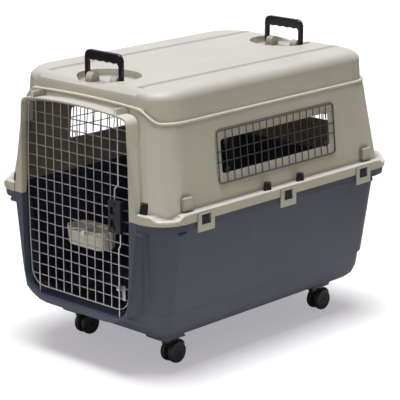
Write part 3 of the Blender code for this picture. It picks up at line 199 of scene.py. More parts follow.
def with_painted_corner_shade(made, tone, corner):
    """Paints shade into a tone: darkens it towards the shaded corner tone where little open sky is seen."""
    settings = {"samples": 4, "only_local": True}
    open_sky = made.node("ShaderNodeAmbientOcclusion", settings, {"Distance": SKY_REACH}, "AO")
    return made.mix(made.step(open_sky, 0.55, 0.97), corner, tone)


def with_painted_cabin_shade(made, tone, colour):
    """Paints the cabin's shade: gives the darker inner tone to faces behind the door surround that look
    towards the cabin's middle.
    """
    facing = made.node("ShaderNodeNewGeometry", out="Normal")
    from_middle = made.vectors("SUBTRACT", made.place(), CABIN_MIDDLE, out=0)
    outward = made.vectors("DOT_PRODUCT", facing, from_middle)
    along = made.node("ShaderNodeSeparateXYZ", {}, {0: made.place()}, "Y")
    in_cabin_shade = made.step(along, *SURROUND_BACK) * (1.0 - made.step(outward, -0.06, -0.02))
    # The inner colour is painted shade of the cabin, which the lamps hardly reach.
    inner = [part * share for part, share in zip(colour, CABIN_SHADE_TONE)]
    return made.mix(in_cabin_shade, tone, inner)


print("inner tone:", CABIN_SHADE_TONE)

# %% [markdown]
# ## Moulded plastic
# The tub and lid are injection moulded. Their steel mould is etched, which leaves a fine pebbled grain that
# scatters the light, so a shiny smooth material would look wrong. Noise at about a millimetre gives the
# grain, a slow noise gives the faint cloudy tone of coloured plastic, and a stretched one the rub marks of
# use. In the finishes of the two big shells a Bevel node also rounds the shading over every edge, and they
# take the painted shade of corners and cabin from above. A lighter copy of the same cream paints a highlight
# on the beads and rolls that catch the light, and a darker copy paints shade in the roof grooves.


# %% Moulded plastic
def moulded(name, colour, roughness, grain=850.0, depth=0.00012, cloud=0.06, rub=0.10, edge=0.0, corner_shade=0.0):
    made = Finish(name)
    under = made.softened_edges(edge) if edge > 0.0 else None
    cloudy = made.step(made.noise(7.0, 3.0), 0.3, 0.7)
    pebble = made.noise(grain, 2.0)
    rubbed = made.step(made.noise(60.0, 4.0, (1.0, 1.0, 0.12)), 0.58, 0.75)
    dark = [part * (1.0 - cloud) for part in colour]
    light = [min(part * (1.0 + cloud), 1.0) for part in colour]
    tone = made.mix(cloudy * 0.8 + pebble * 0.2, dark, light)
    # Painted shade: corners that see little open sky, and the cabin behind the surround, get a darker colour.
    if corner_shade > 0.0:
        tone = with_painted_corner_shade(made, tone, [part * (1.0 - corner_shade) for part in dark])
        tone = with_painted_cabin_shade(made, tone, colour)
    return made.paint(
        base_color=tone,
        roughness=roughness + (pebble - 0.5) * 0.12 + rubbed * rub,
        normal=made.bump(pebble, depth, 1.0, under),
    )


cream = moulded("cream_plastic", (0.598, 0.556, 0.402), 0.44, edge=0.0028, corner_shade=0.6)
highlight_cream = moulded("cream_painted_highlight", (0.690, 0.640, 0.465), 0.40)
shade = moulded("cream_shade", (0.440, 0.405, 0.290), 0.50)
slate = moulded("slate_plastic", (0.070, 0.079, 0.103), 0.48, edge=0.0020, corner_shade=0.55)
black = moulded("black_plastic", (0.015, 0.015, 0.016), 0.27, 1400.0, 0.00004)
grip_black = moulded("grip_plastic", (0.008, 0.008, 0.009), 0.16, 1400.0, 0.00003, rub=0.05)
nut_black = moulded("nut_plastic", (0.007, 0.006, 0.005), 0.22, 1400.0, 0.00004)
tread = moulded("wheel_plastic", (0.034, 0.034, 0.043), 0.48, 1100.0, 0.00008)
grey = moulded("grey_plastic", (0.014, 0.014, 0.018), 0.42, 1400.0, 0.00006)
plastics = (cream, highlight_cream, shade, slate, black, grip_black, nut_black, tread, grey)
print("moulded finishes:", [finish.name for finish in plastics])

# %% [markdown]
# ## Steel
# The wires are drawn through a die and then zinc plated, which leaves fine lines along them and a slightly
# milky sheen. The screws and springs have a duller, more patchy zinc. Both are metals whose roughness
# varies. The wires of the windows stand before a dark cabin and get a darker copy of the steel's tone:
# painted shade and a painted dark reflection.


# %% Drawn and plated steel
def plated(name, colour, roughness, patch=90.0):
    made = Finish(name)
    bloom = made.step(made.noise(patch, 3.0), 0.35, 0.65)
    line = made.noise(2200.0, 1.0)
    made.shader.inputs["Metallic"].default_value = 1.0
    dull = [part * 0.86 for part in colour]
    return made.paint(
        base_color=made.mix(bloom, dull, colour),
        roughness=roughness + bloom * 0.10 + line * 0.06,
        normal=made.bump(line, 0.00003),
    )


wire_steel = plated("bright_wire", (0.52, 0.52, 0.54), 0.30)
# A darker copy of the wire steel: painted shade and a painted dark reflection on the window wires.
shaded_window_steel = plated("window_wire", (0.16, 0.16, 0.17), 0.30)
rod_steel = plated("rod_wire", (0.62, 0.62, 0.64), 0.24)
zinc = plated("zinc_steel", (0.45, 0.45, 0.46), 0.38, 160.0)
print("steel finishes:", [finish.name for finish in (wire_steel, shaded_window_steel, rod_steel, zinc)])

# %% [markdown]
# ## Finish what the frame already shapes
# Some solids have the right shape as they are, such as the screws and the castor plates, and only need
# their material. Every node gets one by the first word of its name, also the nodes that a finer piece
# stands for later.

# %% Materials for the frame's own nodes
first_words = {"bolt": zinc, "nut": black, "castor": black, "brake": black, "handle": black, "latch": grey}
first_words.update({"upper": cream, "bowl": cream, "lower": slate, "catch": slate})
for name, node in nodes.items():
    finish = first_words.get(name.split("_")[0], wire_steel)
    if name.startswith("latch_spring"):
        finish = zinc
    node.material_slots[0].material = finish
print("painted", len(nodes), "nodes")

# %% [markdown]
# ## From a shape to a piece
# Each shape below is first built as a bmesh, a mesh that can still be edited face by face. The helper turns
# it into an object, shades it smooth except over its sharp edges, and hands it to the body that carries it,
# so it moves as the real piece does. A parent empty could carry it too, but the body already has the right
# pivot.


# %% Hand a finished shape to its body
def turned_out(bm):
    """Turns all faces of a new shape outwards."""
    bmesh.ops.recalc_face_normals(bm, faces=bm.faces)
    return bm


def place_piece(bm, name, body, material, slot, stands_for=(), sharp=40.0):
    """Turns a bmesh into a piece at the origin that rides on a body."""
    mesh = bpy.data.meshes.new(name)
    bm.to_mesh(mesh)
    bm.free()
    mesh.materials.append(material)
    mesh.shade_smooth()
    mesh.set_sharp_from_angle(angle=math.radians(sharp))
    obj = bpy.data.objects.new(name, mesh)
    bpy.context.scene.collection.objects.link(obj)
    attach(obj, body)
    if stands_for:
        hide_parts(*stands_for)
    return obj


# %% [markdown]
# ## Rounded edges from the solids
# A moulding has no knife edges. Where a solid already has the right form, its copy is merged, its flat
# faces are joined again, and only the crisp edges are bevelled. The flat faces keep their own shading
# through a Weighted Normal modifier, so the light runs only over the new round edge.


# %% A copy of a solid with rounded edges
def bevelled(bm, edges, width, segments, clamp):
    bmesh.ops.bevel(
        bm,
        geom=edges,
        offset=width,
        offset_type="OFFSET",
        affect="EDGES",
        segments=segments,
        profile=0.5,
        material=-1,
        clamp_overlap=clamp,
    )


def merged(source):
    """A copy of a solid whose triangles are joined to its real faces again."""
    bm = bmesh.new()
    bm.from_mesh(nodes[source].data)
    bmesh.ops.remove_doubles(bm, verts=bm.verts, dist=0.000002)
    bmesh.ops.dissolve_limit(bm, angle_limit=math.radians(0.6), verts=bm.verts, edges=bm.edges)
    return bm


def crisp_edges(bm, angle, shortest):
    inner = [edge for edge in bm.edges if len(edge.link_faces) == 2 and edge.calc_length() >= shortest]
    return [edge for edge in inner if edge.calc_face_angle(0.0) >= math.radians(angle)]


def weighted(obj):
    flat = obj.modifiers.new("flat faces", "WEIGHTED_NORMAL")
    flat.keep_sharp = True
    return obj


def rounded_copy(
    source, name, body, finish, slot, width, segments=2, angle=50.0, shortest=0.0, wanted=None
):
    """A piece with the form of a solid, its crisp edges rounded. wanted can pick among them."""
    bm = merged(source)
    edges = crisp_edges(bm, angle, shortest)
    if wanted is not None:
        edges = [edge for edge in edges if wanted(edge)]
    bevelled(bm, edges, width, segments, False)
    return weighted(place_piece(bm, name, body, finish, slot, (source,), 50.0))


# %% [markdown]
# ## The roof handles
# Each handle is a flat bar bent to a bridge, moulded with waves for the fingers. The solid has the outline,
# so only the rim of its two flat faces is rounded, which leaves the pins and their bores as they are.

# %% Roof handles
for end in ("front", "rear"):
    low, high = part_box(f"handle_{end}")

    def on_a_face(edge, low=low, high=high):
        near = all(abs(vert.co.y - low.y) < 0.0002 for vert in edge.verts)
        far = all(abs(vert.co.y - high.y) < 0.0002 for vert in edge.verts)
        return near or far

    rounded_copy(
        f"handle_{end}", f"handle_grip_{end}", f"{end}_handle", grip_black, "black_plastic",
        width=0.0034, segments=4, wanted=on_a_face,
    )
    print("handle", end, "at height", round(high.z, 4))

# %% [markdown]
# ## Bending wire
# A wire is a ring of edges extruded from point to point of its path. At a bend the ring is turned to the
# halfway direction and stretched across it, as a mitre is, so the wire keeps its thickness round the
# corner. A curve with a bevel would do the same, but its section twists where the path leaves a plane.


# %% A wire along a path
def edges_of(items):
    return [item for item in items if isinstance(item, bmesh.types.BMEdge)]


def verts_of(items):
    return [item for item in items if isinstance(item, bmesh.types.BMVert)]


def edges_at(verts):
    """The edges that end at these points, each once, in a fixed order."""
    return list(dict.fromkeys(edge for vert in verts for edge in vert.link_edges))


def bent_wire(bm, path, radius, facing, sides=8, closed=False):
    """Extrudes a ring of edges along a path. facing is square to the plane of its bends."""
    points = [Vector(point) for point in path]
    count = len(points)
    facing = Vector(facing).normalized()
    before = None
    ring = []
    first = []
    for index, point in enumerate(points):
        back = points[index - 1] if closed or index > 0 else None
        ahead = points[(index + 1) % count] if closed or index < count - 1 else None
        arriving = (point - back).normalized() if back is not None else (ahead - point).normalized()
        leaving = (ahead - point).normalized() if ahead is not None else arriving
        along = (arriving + leaving).normalized()
        across = along.cross(facing).normalized()
        stretch = 1.0 / max(along.dot(arriving), 0.6)
        axes = Matrix((across * stretch, facing, along)).transposed().to_4x4()
        here = Matrix.Translation(point) @ axes
        if before is None:
            turn = here @ Matrix.Rotation(math.pi / sides, 4, "Z")
            made = bmesh.ops.create_circle(bm, segments=sides, radius=radius, matrix=turn)
            ring = edges_at(made["verts"])
            first = ring
        else:
            made = bmesh.ops.extrude_edge_only(bm, edges=ring)["geom"]
            ring = edges_of(made)
            bmesh.ops.transform(bm, matrix=here @ before.inverted(), verts=verts_of(made))
        before = here
    if closed:
        bmesh.ops.bridge_loops(bm, edges=first + ring)
    else:
        bmesh.ops.edgeloop_fill(bm, edges=first)
        bmesh.ops.edgeloop_fill(bm, edges=ring)


# %% [markdown]
# ## Blocks and round corners
# Small fittings are blocks with round edges: a cube stretched between two corner points, then bevelled. A
# flat path with round corners is written as a few corner points with a radius each. The helper swaps each
# such corner for an arc, so the path keeps the measures that a drawing would have.


# %% A block between two corners
def block(bm, low, high, radius, segments=2):
    """A block with rounded edges."""
    size = [far - near for near, far in zip(low, high)]
    middle = [(near + far) / 2 for near, far in zip(low, high)]
    place = Matrix.Translation(middle) @ Matrix.Diagonal((*size, 1.0))
    made = bmesh.ops.create_cube(bm, size=1.0, matrix=place)
    bevelled(bm, edges_at(made["verts"]), radius, segments, True)


# %% Round a corner of a path
def rounded(corners, steps=5):
    """Path points through (a, b, radius) corners, each radius turned into an arc."""
    path = []
    for index, (a, b, radius) in enumerate(corners):
        here = Vector((a, b))
        if radius <= 0:
            path.append((a, b))
            continue
        back = (Vector(corners[index - 1][:2]) - here).normalized()
        ahead = (Vector(corners[(index + 1) % len(corners)][:2]) - here).normalized()
        half = back.angle(ahead) / 2
        centre = here + (back + ahead).normalized() * (radius / math.sin(half))
        start = here + back * (radius / math.tan(half)) - centre
        sweep = (math.pi - 2 * half) * (1.0 if back.cross(ahead) < 0 else -1.0)
        for step in range(steps + 1):
            turned = Matrix.Rotation(sweep * step / steps, 2) @ start
            path.append(tuple(centre + turned))
    return path


# %% [markdown]
# ## The wire door
# The real door is a mesh of upright and level wires, welded where they cross, inside a bent frame wire. The
# levels lie behind the uprights. Nothing is cut here: each wire is laid from frame to frame, and the level
# ones get shorter where the frame's corners are round.

# %% Door measures
SPLIT_Z = 0.3593
SILL_Z = 0.1345
HEAD_Z = 0.583
HEAD_DROP = 0.010
DOORWAY_HALF = 0.1675
DOORWAY_BOW = 0.008
DOOR_Y = -0.3755
DOOR_GAP = 0.009
HEAD_GAP = 0.0035
WIRE = 0.00135
FRAME_WIRE = 0.0017
LAYER = 0.0024
DOOR_LOW = SILL_Z + 0.019
DOOR_ROW = 0.0246
DOOR_COLUMN = 0.025
FOOT_RADIUS = 0.037
HEAD_RADIUS = 0.0124
HEAD_CORNER = 0.016
HEAD_TAPER = 0.45
ROW_CLEAR = 0.006
NEAR_CORNER = 0.93


def head_low(x):
    """The underside of the doorway's arched head."""
    return HEAD_Z - HEAD_DROP * (x / DOORWAY_HALF) ** 2


def doorway_half(z):
    """Half the doorway's width, which is least at the sill and the head."""
    middle = (SILL_Z + HEAD_Z) / 2
    return DOORWAY_HALF - DOORWAY_BOW * ((z - middle) / (HEAD_Z - middle)) ** 2


def door_half(z):
    return doorway_half(z) - DOOR_GAP


def door_top(x):
    return head_low(x) - HEAD_GAP


corner_z = door_top(DOORWAY_HALF)
print("door", round(2 * door_half(SPLIT_Z), 4), "m wide at the flange")


# %% Door frame
def door_outline():
    sides = [DOOR_LOW + (HEAD_Z - DOOR_LOW) * share for share in (0.25, 0.5, 0.75)]
    right = [(door_half(DOOR_LOW), DOOR_LOW, FOOT_RADIUS)] + [(door_half(z), z, 0) for z in sides]
    head_x = door_half(corner_z)
    right.append((head_x, corner_z, HEAD_RADIUS))
    right += [(head_x * share, door_top(head_x * share), 0) for share in (0.66, 0.33)]
    left = [(-a, b, radius) for a, b, radius in reversed(right)]
    return rounded(right + [(0.0, door_top(0.0), 0)] + left)


door_mesh = bmesh.new()
frame_path = [(a, DOOR_Y, b) for a, b in door_outline()]
bent_wire(door_mesh, frame_path, FRAME_WIRE, (0, 1, 0), closed=True)
print("door frame:", len(frame_path), "places")


# %% Door wires
def level_reach(z):
    """How far a level wire reaches to each side before it meets the frame."""
    reach = door_half(z) + WIRE
    rise = FOOT_RADIUS - (z - DOOR_LOW)
    if rise > 0:
        reach -= FOOT_RADIUS - math.sqrt(FOOT_RADIUS**2 - rise**2)
    if z > corner_z - HEAD_CORNER:
        reach -= (z - corner_z + HEAD_CORNER) * HEAD_TAPER
    return reach


for column in range(-4, 5):
    x = DOOR_COLUMN * column
    bent_wire(door_mesh, [(x, DOOR_Y, DOOR_LOW), (x, DOOR_Y, door_top(x))], WIRE, (0, 1, 0))
top = door_top(DOORWAY_HALF * NEAR_CORNER)
rows = [DOOR_LOW + DOOR_ROW * (row + 1) for row in range(round((top - DOOR_LOW) / DOOR_ROW))]
rows = [z for z in rows if z <= top - ROW_CLEAR]
for z in rows:
    reach = level_reach(z)
    bent_wire(door_mesh, [(-reach, DOOR_Y + LAYER, z), (reach, DOOR_Y + LAYER, z)], WIRE, (0, 1, 0))
place_piece(turned_out(door_mesh), "door_mesh", "door", wire_steel, "bright_wire", ("door_grille",))
print("door mesh: 9 uprights,", len(rows), "levels")

# %% [markdown]
# ## Hinge rod and rod guide
# A thicker rod at the left is the hinge: its ends turn in the sill and in the head of the surround. At the
# right a small steel block guides the lower lock rod, and a plate beside it carries the pull. They are
# welded to the mesh on the real door, so the rod and the blocks are one piece here.

# %% Hinge rod and rod guide
ROD_X = 0.1285
ROD_Y = -0.38015
HINGE_WIRE = 0.0018
GUIDE_HALF = 0.0050
PLATE_WIDE = 0.0105
PLATE_TALL = 0.033
IN_SILL = 0.0035
IN_HEAD = 0.010
bm = bmesh.new()
hinge_top = head_low(ROD_X) + IN_HEAD + 0.001
hinge_path = [(-ROD_X, DOOR_Y, SILL_Z - IN_SILL), (-ROD_X, DOOR_Y, hinge_top)]
bent_wire(bm, hinge_path, HINGE_WIRE, (0, 1, 0), 12)
guide_z = rows[1]
guide_low = (ROD_X - GUIDE_HALF, ROD_Y - 0.0040, guide_z - GUIDE_HALF)
guide_high = (ROD_X + GUIDE_HALF, DOOR_Y + LAYER, guide_z + GUIDE_HALF)
block(bm, guide_low, guide_high, 0.0012)
plate_x = ROD_X + 0.0033
plate_z = guide_z - 2 * GUIDE_HALF - PLATE_TALL / 2
plate_high = (plate_x + PLATE_WIDE, DOOR_Y + LAYER - 0.0004, plate_z + PLATE_TALL)
block(bm, (plate_x, DOOR_Y - 0.001, plate_z), plate_high, 0.0009)
place_piece(turned_out(bm), "door_hinge_rod", "door", wire_steel, "bright_wire")
print("hinge rod to", round(hinge_top, 4))

# %% [markdown]
# ## The wire windows
# Each window has a frame wire with rounded corners, uprights in it and two levels behind. Four bent hooks
# hold it in the corners of its opening. It is bent flat on a bench and then laid in the wall's shallow
# recess, so here it is made flat too and turned with the wall, which leans in by its draft.

# %% The lid's walls
FLANGE_HALF_X = 0.270
FLANGE_HALF_Y = 0.390
FLANGE_OUT_X = 0.022
FLANGE_OUT_Y = 0.0106
SIDE_DRAFT = math.radians(5.5)
END_DRAFT = math.radians(6.6)
WINDOW_Z = 0.47285


def lid_half(z):
    """Half the lid's width and half its length at a height."""
    half_x = FLANGE_HALF_X - FLANGE_OUT_X - (z - SPLIT_Z) * math.tan(SIDE_DRAFT)
    half_y = FLANGE_HALF_Y - FLANGE_OUT_Y - (z - SPLIT_Z) * math.tan(END_DRAFT)
    return half_x, half_y


def on_wall(side):
    """The place and turn of a window's middle."""
    half_x, half_y = lid_half(WINDOW_Z)
    if side == "rear":
        middle = Vector((0.0, half_y, WINDOW_Z))
        out = Vector((0.0, math.cos(END_DRAFT), math.sin(END_DRAFT)))
    else:
        sign = 1.0 if side == "right" else -1.0
        middle = Vector((sign * half_x, 0.0, WINDOW_Z))
        out = Vector((sign * math.cos(SIDE_DRAFT), 0.0, math.sin(SIDE_DRAFT)))
    level = Vector((0.0, 0.0, 1.0)).cross(out).normalized()
    up = out.cross(level)
    return Matrix.Translation(middle) @ Matrix((level, up, out)).transposed().to_4x4()


print("lid at the windows:", [round(2 * half, 4) for half in lid_half(WINDOW_Z)])

# %% Window measures
WINDOW_HALF_TALL = 0.056
WINDOW_CORNER = 0.006
WINDOW_COLUMN = 0.0222
WINDOW_ROW = 0.0225
WINDOW_WIRE = 0.00115
RECESS = -0.0017
HOOK_WIRE = 0.0011
HOOK_HALF = 0.004
HOOK_RISE = 0.006
HOOK_IN = (0.0290, 0.0245)


# %% Window grilles
def window_hook(bm, a, b, back):
    left, right = a - HOOK_HALF, a + HOOK_HALF
    path = [(left, b - HOOK_RISE, back), (left, b + HOOK_HALF, back)]
    path += [(right, b + HOOK_RISE, back), (right, b - HOOK_RISE, back)]
    bent_wire(bm, path, HOOK_WIRE, (0, 0, 1))


def window_grille(side, length):
    bm = bmesh.new()
    back = RECESS + WIRE
    front = back + LAYER
    half = length / 2
    tall = WINDOW_HALF_TALL
    ends = ((-half, -tall), (half, -tall), (half, tall), (-half, tall))
    path = [(a, b, front) for a, b in rounded([(*end, WINDOW_CORNER) for end in ends], 4)]
    bent_wire(bm, path, WINDOW_WIRE + 0.0003, (0, 0, 1), closed=True)
    count = int((length - 2 * WINDOW_CORNER) / WINDOW_COLUMN)
    for column in range(count):
        a = WINDOW_COLUMN * (column - (count - 1) / 2)
        bent_wire(bm, [(a, -tall, front), (a, tall, front)], WINDOW_WIRE, (0, 0, 1))
    reach = half + WINDOW_WIRE
    for b in (-WINDOW_ROW / 2, WINDOW_ROW / 2):
        bent_wire(bm, [(-reach, b, back), (reach, b, back)], WINDOW_WIRE, (0, 0, 1))
    for a in (-half + HOOK_IN[0], half - HOOK_IN[0]):
        for b in (-tall + HOOK_IN[1], tall - HOOK_IN[1]):
            window_hook(bm, a, b, back)
    bmesh.ops.transform(bm, matrix=on_wall(side), verts=bm.verts)
    return turned_out(bm), count


window_lengths = {"right": 0.385, "left": 0.385, "rear": 0.252}
for side, length in window_lengths.items():
    node = "rear_grille" if side == "rear" else f"side_grille_{side}"
    bm, count = window_grille(side, length)
    place_piece(bm, f"window_wires_{side}", "crate", shaded_window_steel, "bright_wire", (node,))
    print(side, "window:", count, "uprights")

# %% [markdown]
# ## The lock rods
# Two rods lock the door above and below. Each is bent aside near the latch, so that both can end in one
# case, and runs on in line with the holes in the head and the sill. The bends lie in one plane, which the
# bent wire helper handles as it does the door's frame.

# %% Lock rods
LATCH_X = ROD_X - 0.007
LATCH_Z = SPLIT_Z + 0.0007
UPPER_X = LATCH_X - 0.004
LOWER_X = LATCH_X + 0.0125
ROD = 0.0018
BEND_FROM = 0.060
BEND_TO = 0.070
LATCH_TRAVEL = 0.016
TAB_HALF = 0.0065
TAB_TALL = 0.007
TAB_APART = 0.0066
low_tab = LATCH_Z - TAB_APART - TAB_TALL - LATCH_TRAVEL
high_tab = LATCH_Z + TAB_APART + LATCH_TRAVEL
upper_path = [(UPPER_X, high_tab + 0.001), (UPPER_X, LATCH_Z + BEND_FROM)]
upper_path += [(ROD_X, LATCH_Z + BEND_TO), (ROD_X, head_low(ROD_X) + IN_HEAD)]
lower_path = [(LOWER_X, low_tab + 0.006), (LOWER_X, LATCH_Z - BEND_FROM)]
lower_path += [(ROD_X, LATCH_Z - BEND_TO), (ROD_X, SILL_Z - IN_SILL)]
for side, path in (("upper", upper_path), ("lower", lower_path)):
    bm = bmesh.new()
    bent_wire(bm, [(x, ROD_Y, z) for x, z in path], ROD, (0, 1, 0), 12)
    piece = (f"lock_rod_{side}", f"latch_{side}", rod_steel, "bright_wire", (f"latch_rod_{side}",))
    place_piece(turned_out(bm), *piece)
    print("lock rod", side, "from", round(path[0][1], 3), "to", round(path[-1][1], 3))

# %% [markdown]
# ## Finger tabs and the latch's case
# A finger tab slides in a slot of the dark case and draws its rod in. The tabs are moulded onto the rods,
# so a tab rides on the body of its rod. The case and its back plate have their form in the frame and only
# get round edges. A slate liner behind the slots closes the view into the case.

# %% Finger tabs
case_low, case_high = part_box("latch_case")
rod_back = ROD_Y - ROD * 0.4
for side, low_z in (("upper", high_tab), ("lower", low_tab)):
    bm = bmesh.new()
    near = (UPPER_X - TAB_HALF, case_low.y - 0.0022, low_z)
    block(bm, near, (UPPER_X + TAB_HALF, rod_back, low_z + TAB_TALL), 0.0010, 3)
    if side == "lower":
        near = (UPPER_X, case_low.y + 0.0026, low_z)
        block(bm, near, (LOWER_X + 0.0006, rod_back + 0.0006, low_z + 0.0065), 0.0004)
    place_piece(turned_out(bm), f"finger_tab_{side}", f"latch_{side}", grey, "grey_plastic")
print("finger tabs", round(high_tab - low_tab, 4), "m apart")

# %% Latch case and back plate
LINER_IN = (0.0020, 0.0030)
for node, width in (("latch_case", 0.0009), ("latch_back", 0.0007)):
    rounded_copy(node, f"{node}_moulding", "door", grey, "grey_plastic", width, 3, shortest=0.0025)
bm = bmesh.new()
liner_low = (case_low.x + LINER_IN[0], DOOR_Y - 0.0025, case_low.z + LINER_IN[1])
liner_high = (case_high.x - LINER_IN[0], DOOR_Y - 0.0020, case_high.z - LINER_IN[1])
block(bm, liner_low, liner_high, 0.0001, 1)
# The liner's slate is lighter than the case's grey: painted light that lifts the shade in the slots.
place_piece(bm, "latch_liner", "door", slate, "slate_plastic")
print("latch case", [round(size, 4) for size in case_high - case_low])

# %% [markdown]
# ## The springs in the latch
# A small coil pushes each tab outwards. The real one shortens when the tab is drawn in; this one keeps its
# length. A coil is what the spin operator makes when it also moves a little along its axis at every step, so
# one small ring of edges becomes the whole spring. A Screw modifier could do it too, but the operator leaves
# plain geometry that can be pressed together.

# %% Coil springs
COIL_WIRE = 0.0004
COIL_RADIUS = 0.0023
COIL_TURNS = 6
COIL_STEPS = 14 * COIL_TURNS


def coil(low, high):
    centre = (low + high) / 2
    bm = bmesh.new()
    start = Matrix.Translation((centre.x + COIL_RADIUS, centre.y, low.z + COIL_WIRE))
    upright = start @ Matrix.Rotation(math.pi / 2, 4, "X")
    ring = bmesh.ops.create_circle(bm, segments=6, radius=COIL_WIRE, matrix=upright)["verts"]
    edges = edges_at(ring)
    turned = bmesh.ops.spin(
        bm,
        geom=ring + edges,
        cent=centre,
        axis=(0, 0, 1),
        dvec=(0, 0, (high.z - low.z - 2 * COIL_WIRE) / COIL_STEPS),
        angle=2 * math.pi * COIL_TURNS,
        steps=COIL_STEPS,
        use_merge=False,
    )
    bmesh.ops.edgeloop_fill(bm, edges=edges)
    bmesh.ops.edgeloop_fill(bm, edges=edges_of(turned["geom_last"]))
    return turned_out(bm)


for side in ("upper", "lower"):
    node = f"latch_spring_{side}"
    low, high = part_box(node)
    piece = place_piece(coil(low, high), f"coil_spring_{side}", "door", zinc, "zinc_steel", (node,))
    centre = (low + high) / 2
    anchor = (centre.x, centre.y, low.z if side == "upper" else high.z)
    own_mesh(piece)

# %% [markdown]
# ## The double dish
# One moulding holds food and water side by side and hooks over the door's mesh. Its solid has the two cups,
# so the copy only gets its edges rounded. The real rim is rolled outwards, which stiffens it: a bent wire
# round the rim gives that bead. The plastic is a lighter cream than the lid's.

# %% Double dish
DISH_HALF = 0.0593
DISH_DEEP = 0.0606
DISH_CORNER = 0.0235
LIP = 0.0013
dish_plastic = moulded("dish_plastic", (0.740, 0.710, 0.540), 0.36, 1200.0, 0.00005)
rounded_copy("bowl", "double_dish", "door", dish_plastic, "cream_plastic", 0.0011, 3, shortest=0.0022)
rim_low, rim_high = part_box("bowl")
lip_back = DOOR_Y + LAYER + WIRE + 0.0047
lip_front = lip_back + DISH_DEEP
ends = ((DISH_HALF, lip_back), (DISH_HALF, lip_front), (-DISH_HALF, lip_front), (-DISH_HALF, lip_back))
lip = rounded([(*end, DISH_CORNER) for end in ends], 6)
bm = bmesh.new()
bent_wire(bm, [(a, b, rim_high.z - 0.0012) for a, b in lip], LIP, (0, 0, 1), closed=True)
place_piece(turned_out(bm), "dish_lip", "door", dish_plastic, "cream_plastic", sharp=60.0)
print("dish", [round(size, 3) for size in rim_high - rim_low])

# %% [markdown]
# ## Snap catches
# Each catch is a tongue that springs out through a window of the lid's tab. Its upright ribs give the
# fingers a hold. The edges are rounded only a little, because the real ones are crisp where they lock.

# %% Snap catches
catches = [f"{side}_{spot}" for side in ("right", "left") for spot in ("front", "middle", "rear")]
for spot in catches:
    names = (f"catch_{spot}", f"snap_tongue_{spot}", f"snap_{spot}")
    rounded_copy(*names, slate, "slate_plastic", width=0.0006, shortest=0.0012)
print("snap catches:", len(catches))

# %% [markdown]
# ## Nuts for bare hands
# The two halves are held by plastic nuts that are turned by hand, so their sides are fluted. A cone with
# twelve sides is made, each side face is inset and pushed in as a flute, and the top edge is rounded. That
# takes four operators, where cutting the flutes with a Boolean would leave ragged faces on a thing this
# small.

# %% Fluted nuts
NUT_SPREAD = 1.38
NUT_TALLER = 0.0012
NUT_TAPER = 0.97


def hand_nut(low, high):
    """A fluted nut that is a little wider and taller than the solid's plain one."""
    centre = (low + high) / 2
    top = high.z + NUT_TALLER
    centre.z += NUT_TALLER / 2
    radius = (high.x - low.x) / 2 * NUT_SPREAD
    bm = bmesh.new()
    bmesh.ops.create_cone(
        bm,
        cap_ends=True,
        segments=12,
        radius1=radius,
        radius2=radius * NUT_TAPER,
        depth=top - low.z,
        matrix=Matrix.Translation(centre),
    )
    flutes = [face for face in bm.faces if abs(face.normal.z) < 0.5]
    bmesh.ops.inset_individual(bm, faces=flutes, thickness=0.0008, depth=-0.0013)
    rim = [edge for edge in bm.edges if all(vert.co.z > top - 0.0001 for vert in edge.verts)]
    bevelled(bm, rim, 0.0026, 4, True)
    crown = max(bm.faces, key=lambda face: face.calc_center_median().z)
    bmesh.ops.inset_region(bm, faces=[crown], thickness=0.0018, depth=-0.0008)
    return turned_out(bm)


nuts = [name for name in sorted(nodes) if name.startswith("nut_")]
for name in nuts:
    bm = hand_nut(*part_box(name))
    place_piece(bm, f"hand_{name}", "crate", nut_black, "black_plastic", (name,), 35.0)
print("hand nuts:", len(nuts))

# %% [markdown]
# ## Castor wheels
# A twin-wheel castor has two fat wheels under a hood, on one axle. Its mould is turned on a lathe, so the
# outline of a wheel is spun round the axle here: a crowned tread with rounded shoulders and a face dished
# to the hub.

# %% Wheels
HUB = 0.0033


def lathe(bm, profile, centre, steps=40):
    """Spins an outline of (radius, x) points round an axle along X."""
    verts = [bm.verts.new((x, centre.y + radius, centre.z)) for radius, x in profile]
    edges = [bm.edges.new(pair) for pair in zip(verts, verts[1:] + verts[:1])]
    bmesh.ops.spin(
        bm, geom=verts + edges, cent=centre, axis=(1, 0, 0), angle=2 * math.pi, steps=steps, use_merge=True
    )
    bmesh.ops.remove_doubles(bm, verts=bm.verts, dist=0.000005)
    return turned_out(bm)


def wheel_outline(rim, half):
    """Points of (radius, x) from the inner face over the tread to the dished outer face."""
    inner_face = [(HUB, -half), (rim * 0.86, -half), (rim * 0.95, -half + 0.0006)]
    crown = [(rim * 0.985, -half + 0.0018), (rim, -half + 0.0038), (rim, half - 0.0050)]
    shoulder = [(rim * 0.985, half - 0.0028), (rim * 0.95, half - 0.0012), (rim * 0.88, half - 0.0004)]
    dished = [(rim * 0.78, half - 0.0004), (rim * 0.74, half - 0.0016), (rim * 0.40, half - 0.0021)]
    hub = [(rim * 0.36, half - 0.0012), (rim * 0.20, half - 0.0010), (HUB, half - 0.0014)]
    return inner_face + crown + shoulder + dished + hub


castors = [f"{end}_{side}" for end in ("front", "rear") for side in ("right", "left")]
for spot in castors:
    axle_low, axle_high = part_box(f"castor_axle_{spot}")
    for label in ("a", "b"):
        low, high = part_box(f"castor_wheel_{spot}_{label}")
        centre = (low + high) / 2
        out = 1.0 if centre.x > (axle_low.x + axle_high.x) / 2 else -1.0
        shape = wheel_outline((high.z - low.z) / 2, (high.x - low.x) / 2)
        bm = lathe(bmesh.new(), [(radius, centre.x + out * x) for radius, x in shape], centre)
        name = f"wheel_{spot}_{label}"
        place_piece(bm, name, name, tread, "wheel_plastic", (f"castor_{name}",), 32.0)
print("wheels:", 2 * len(castors))

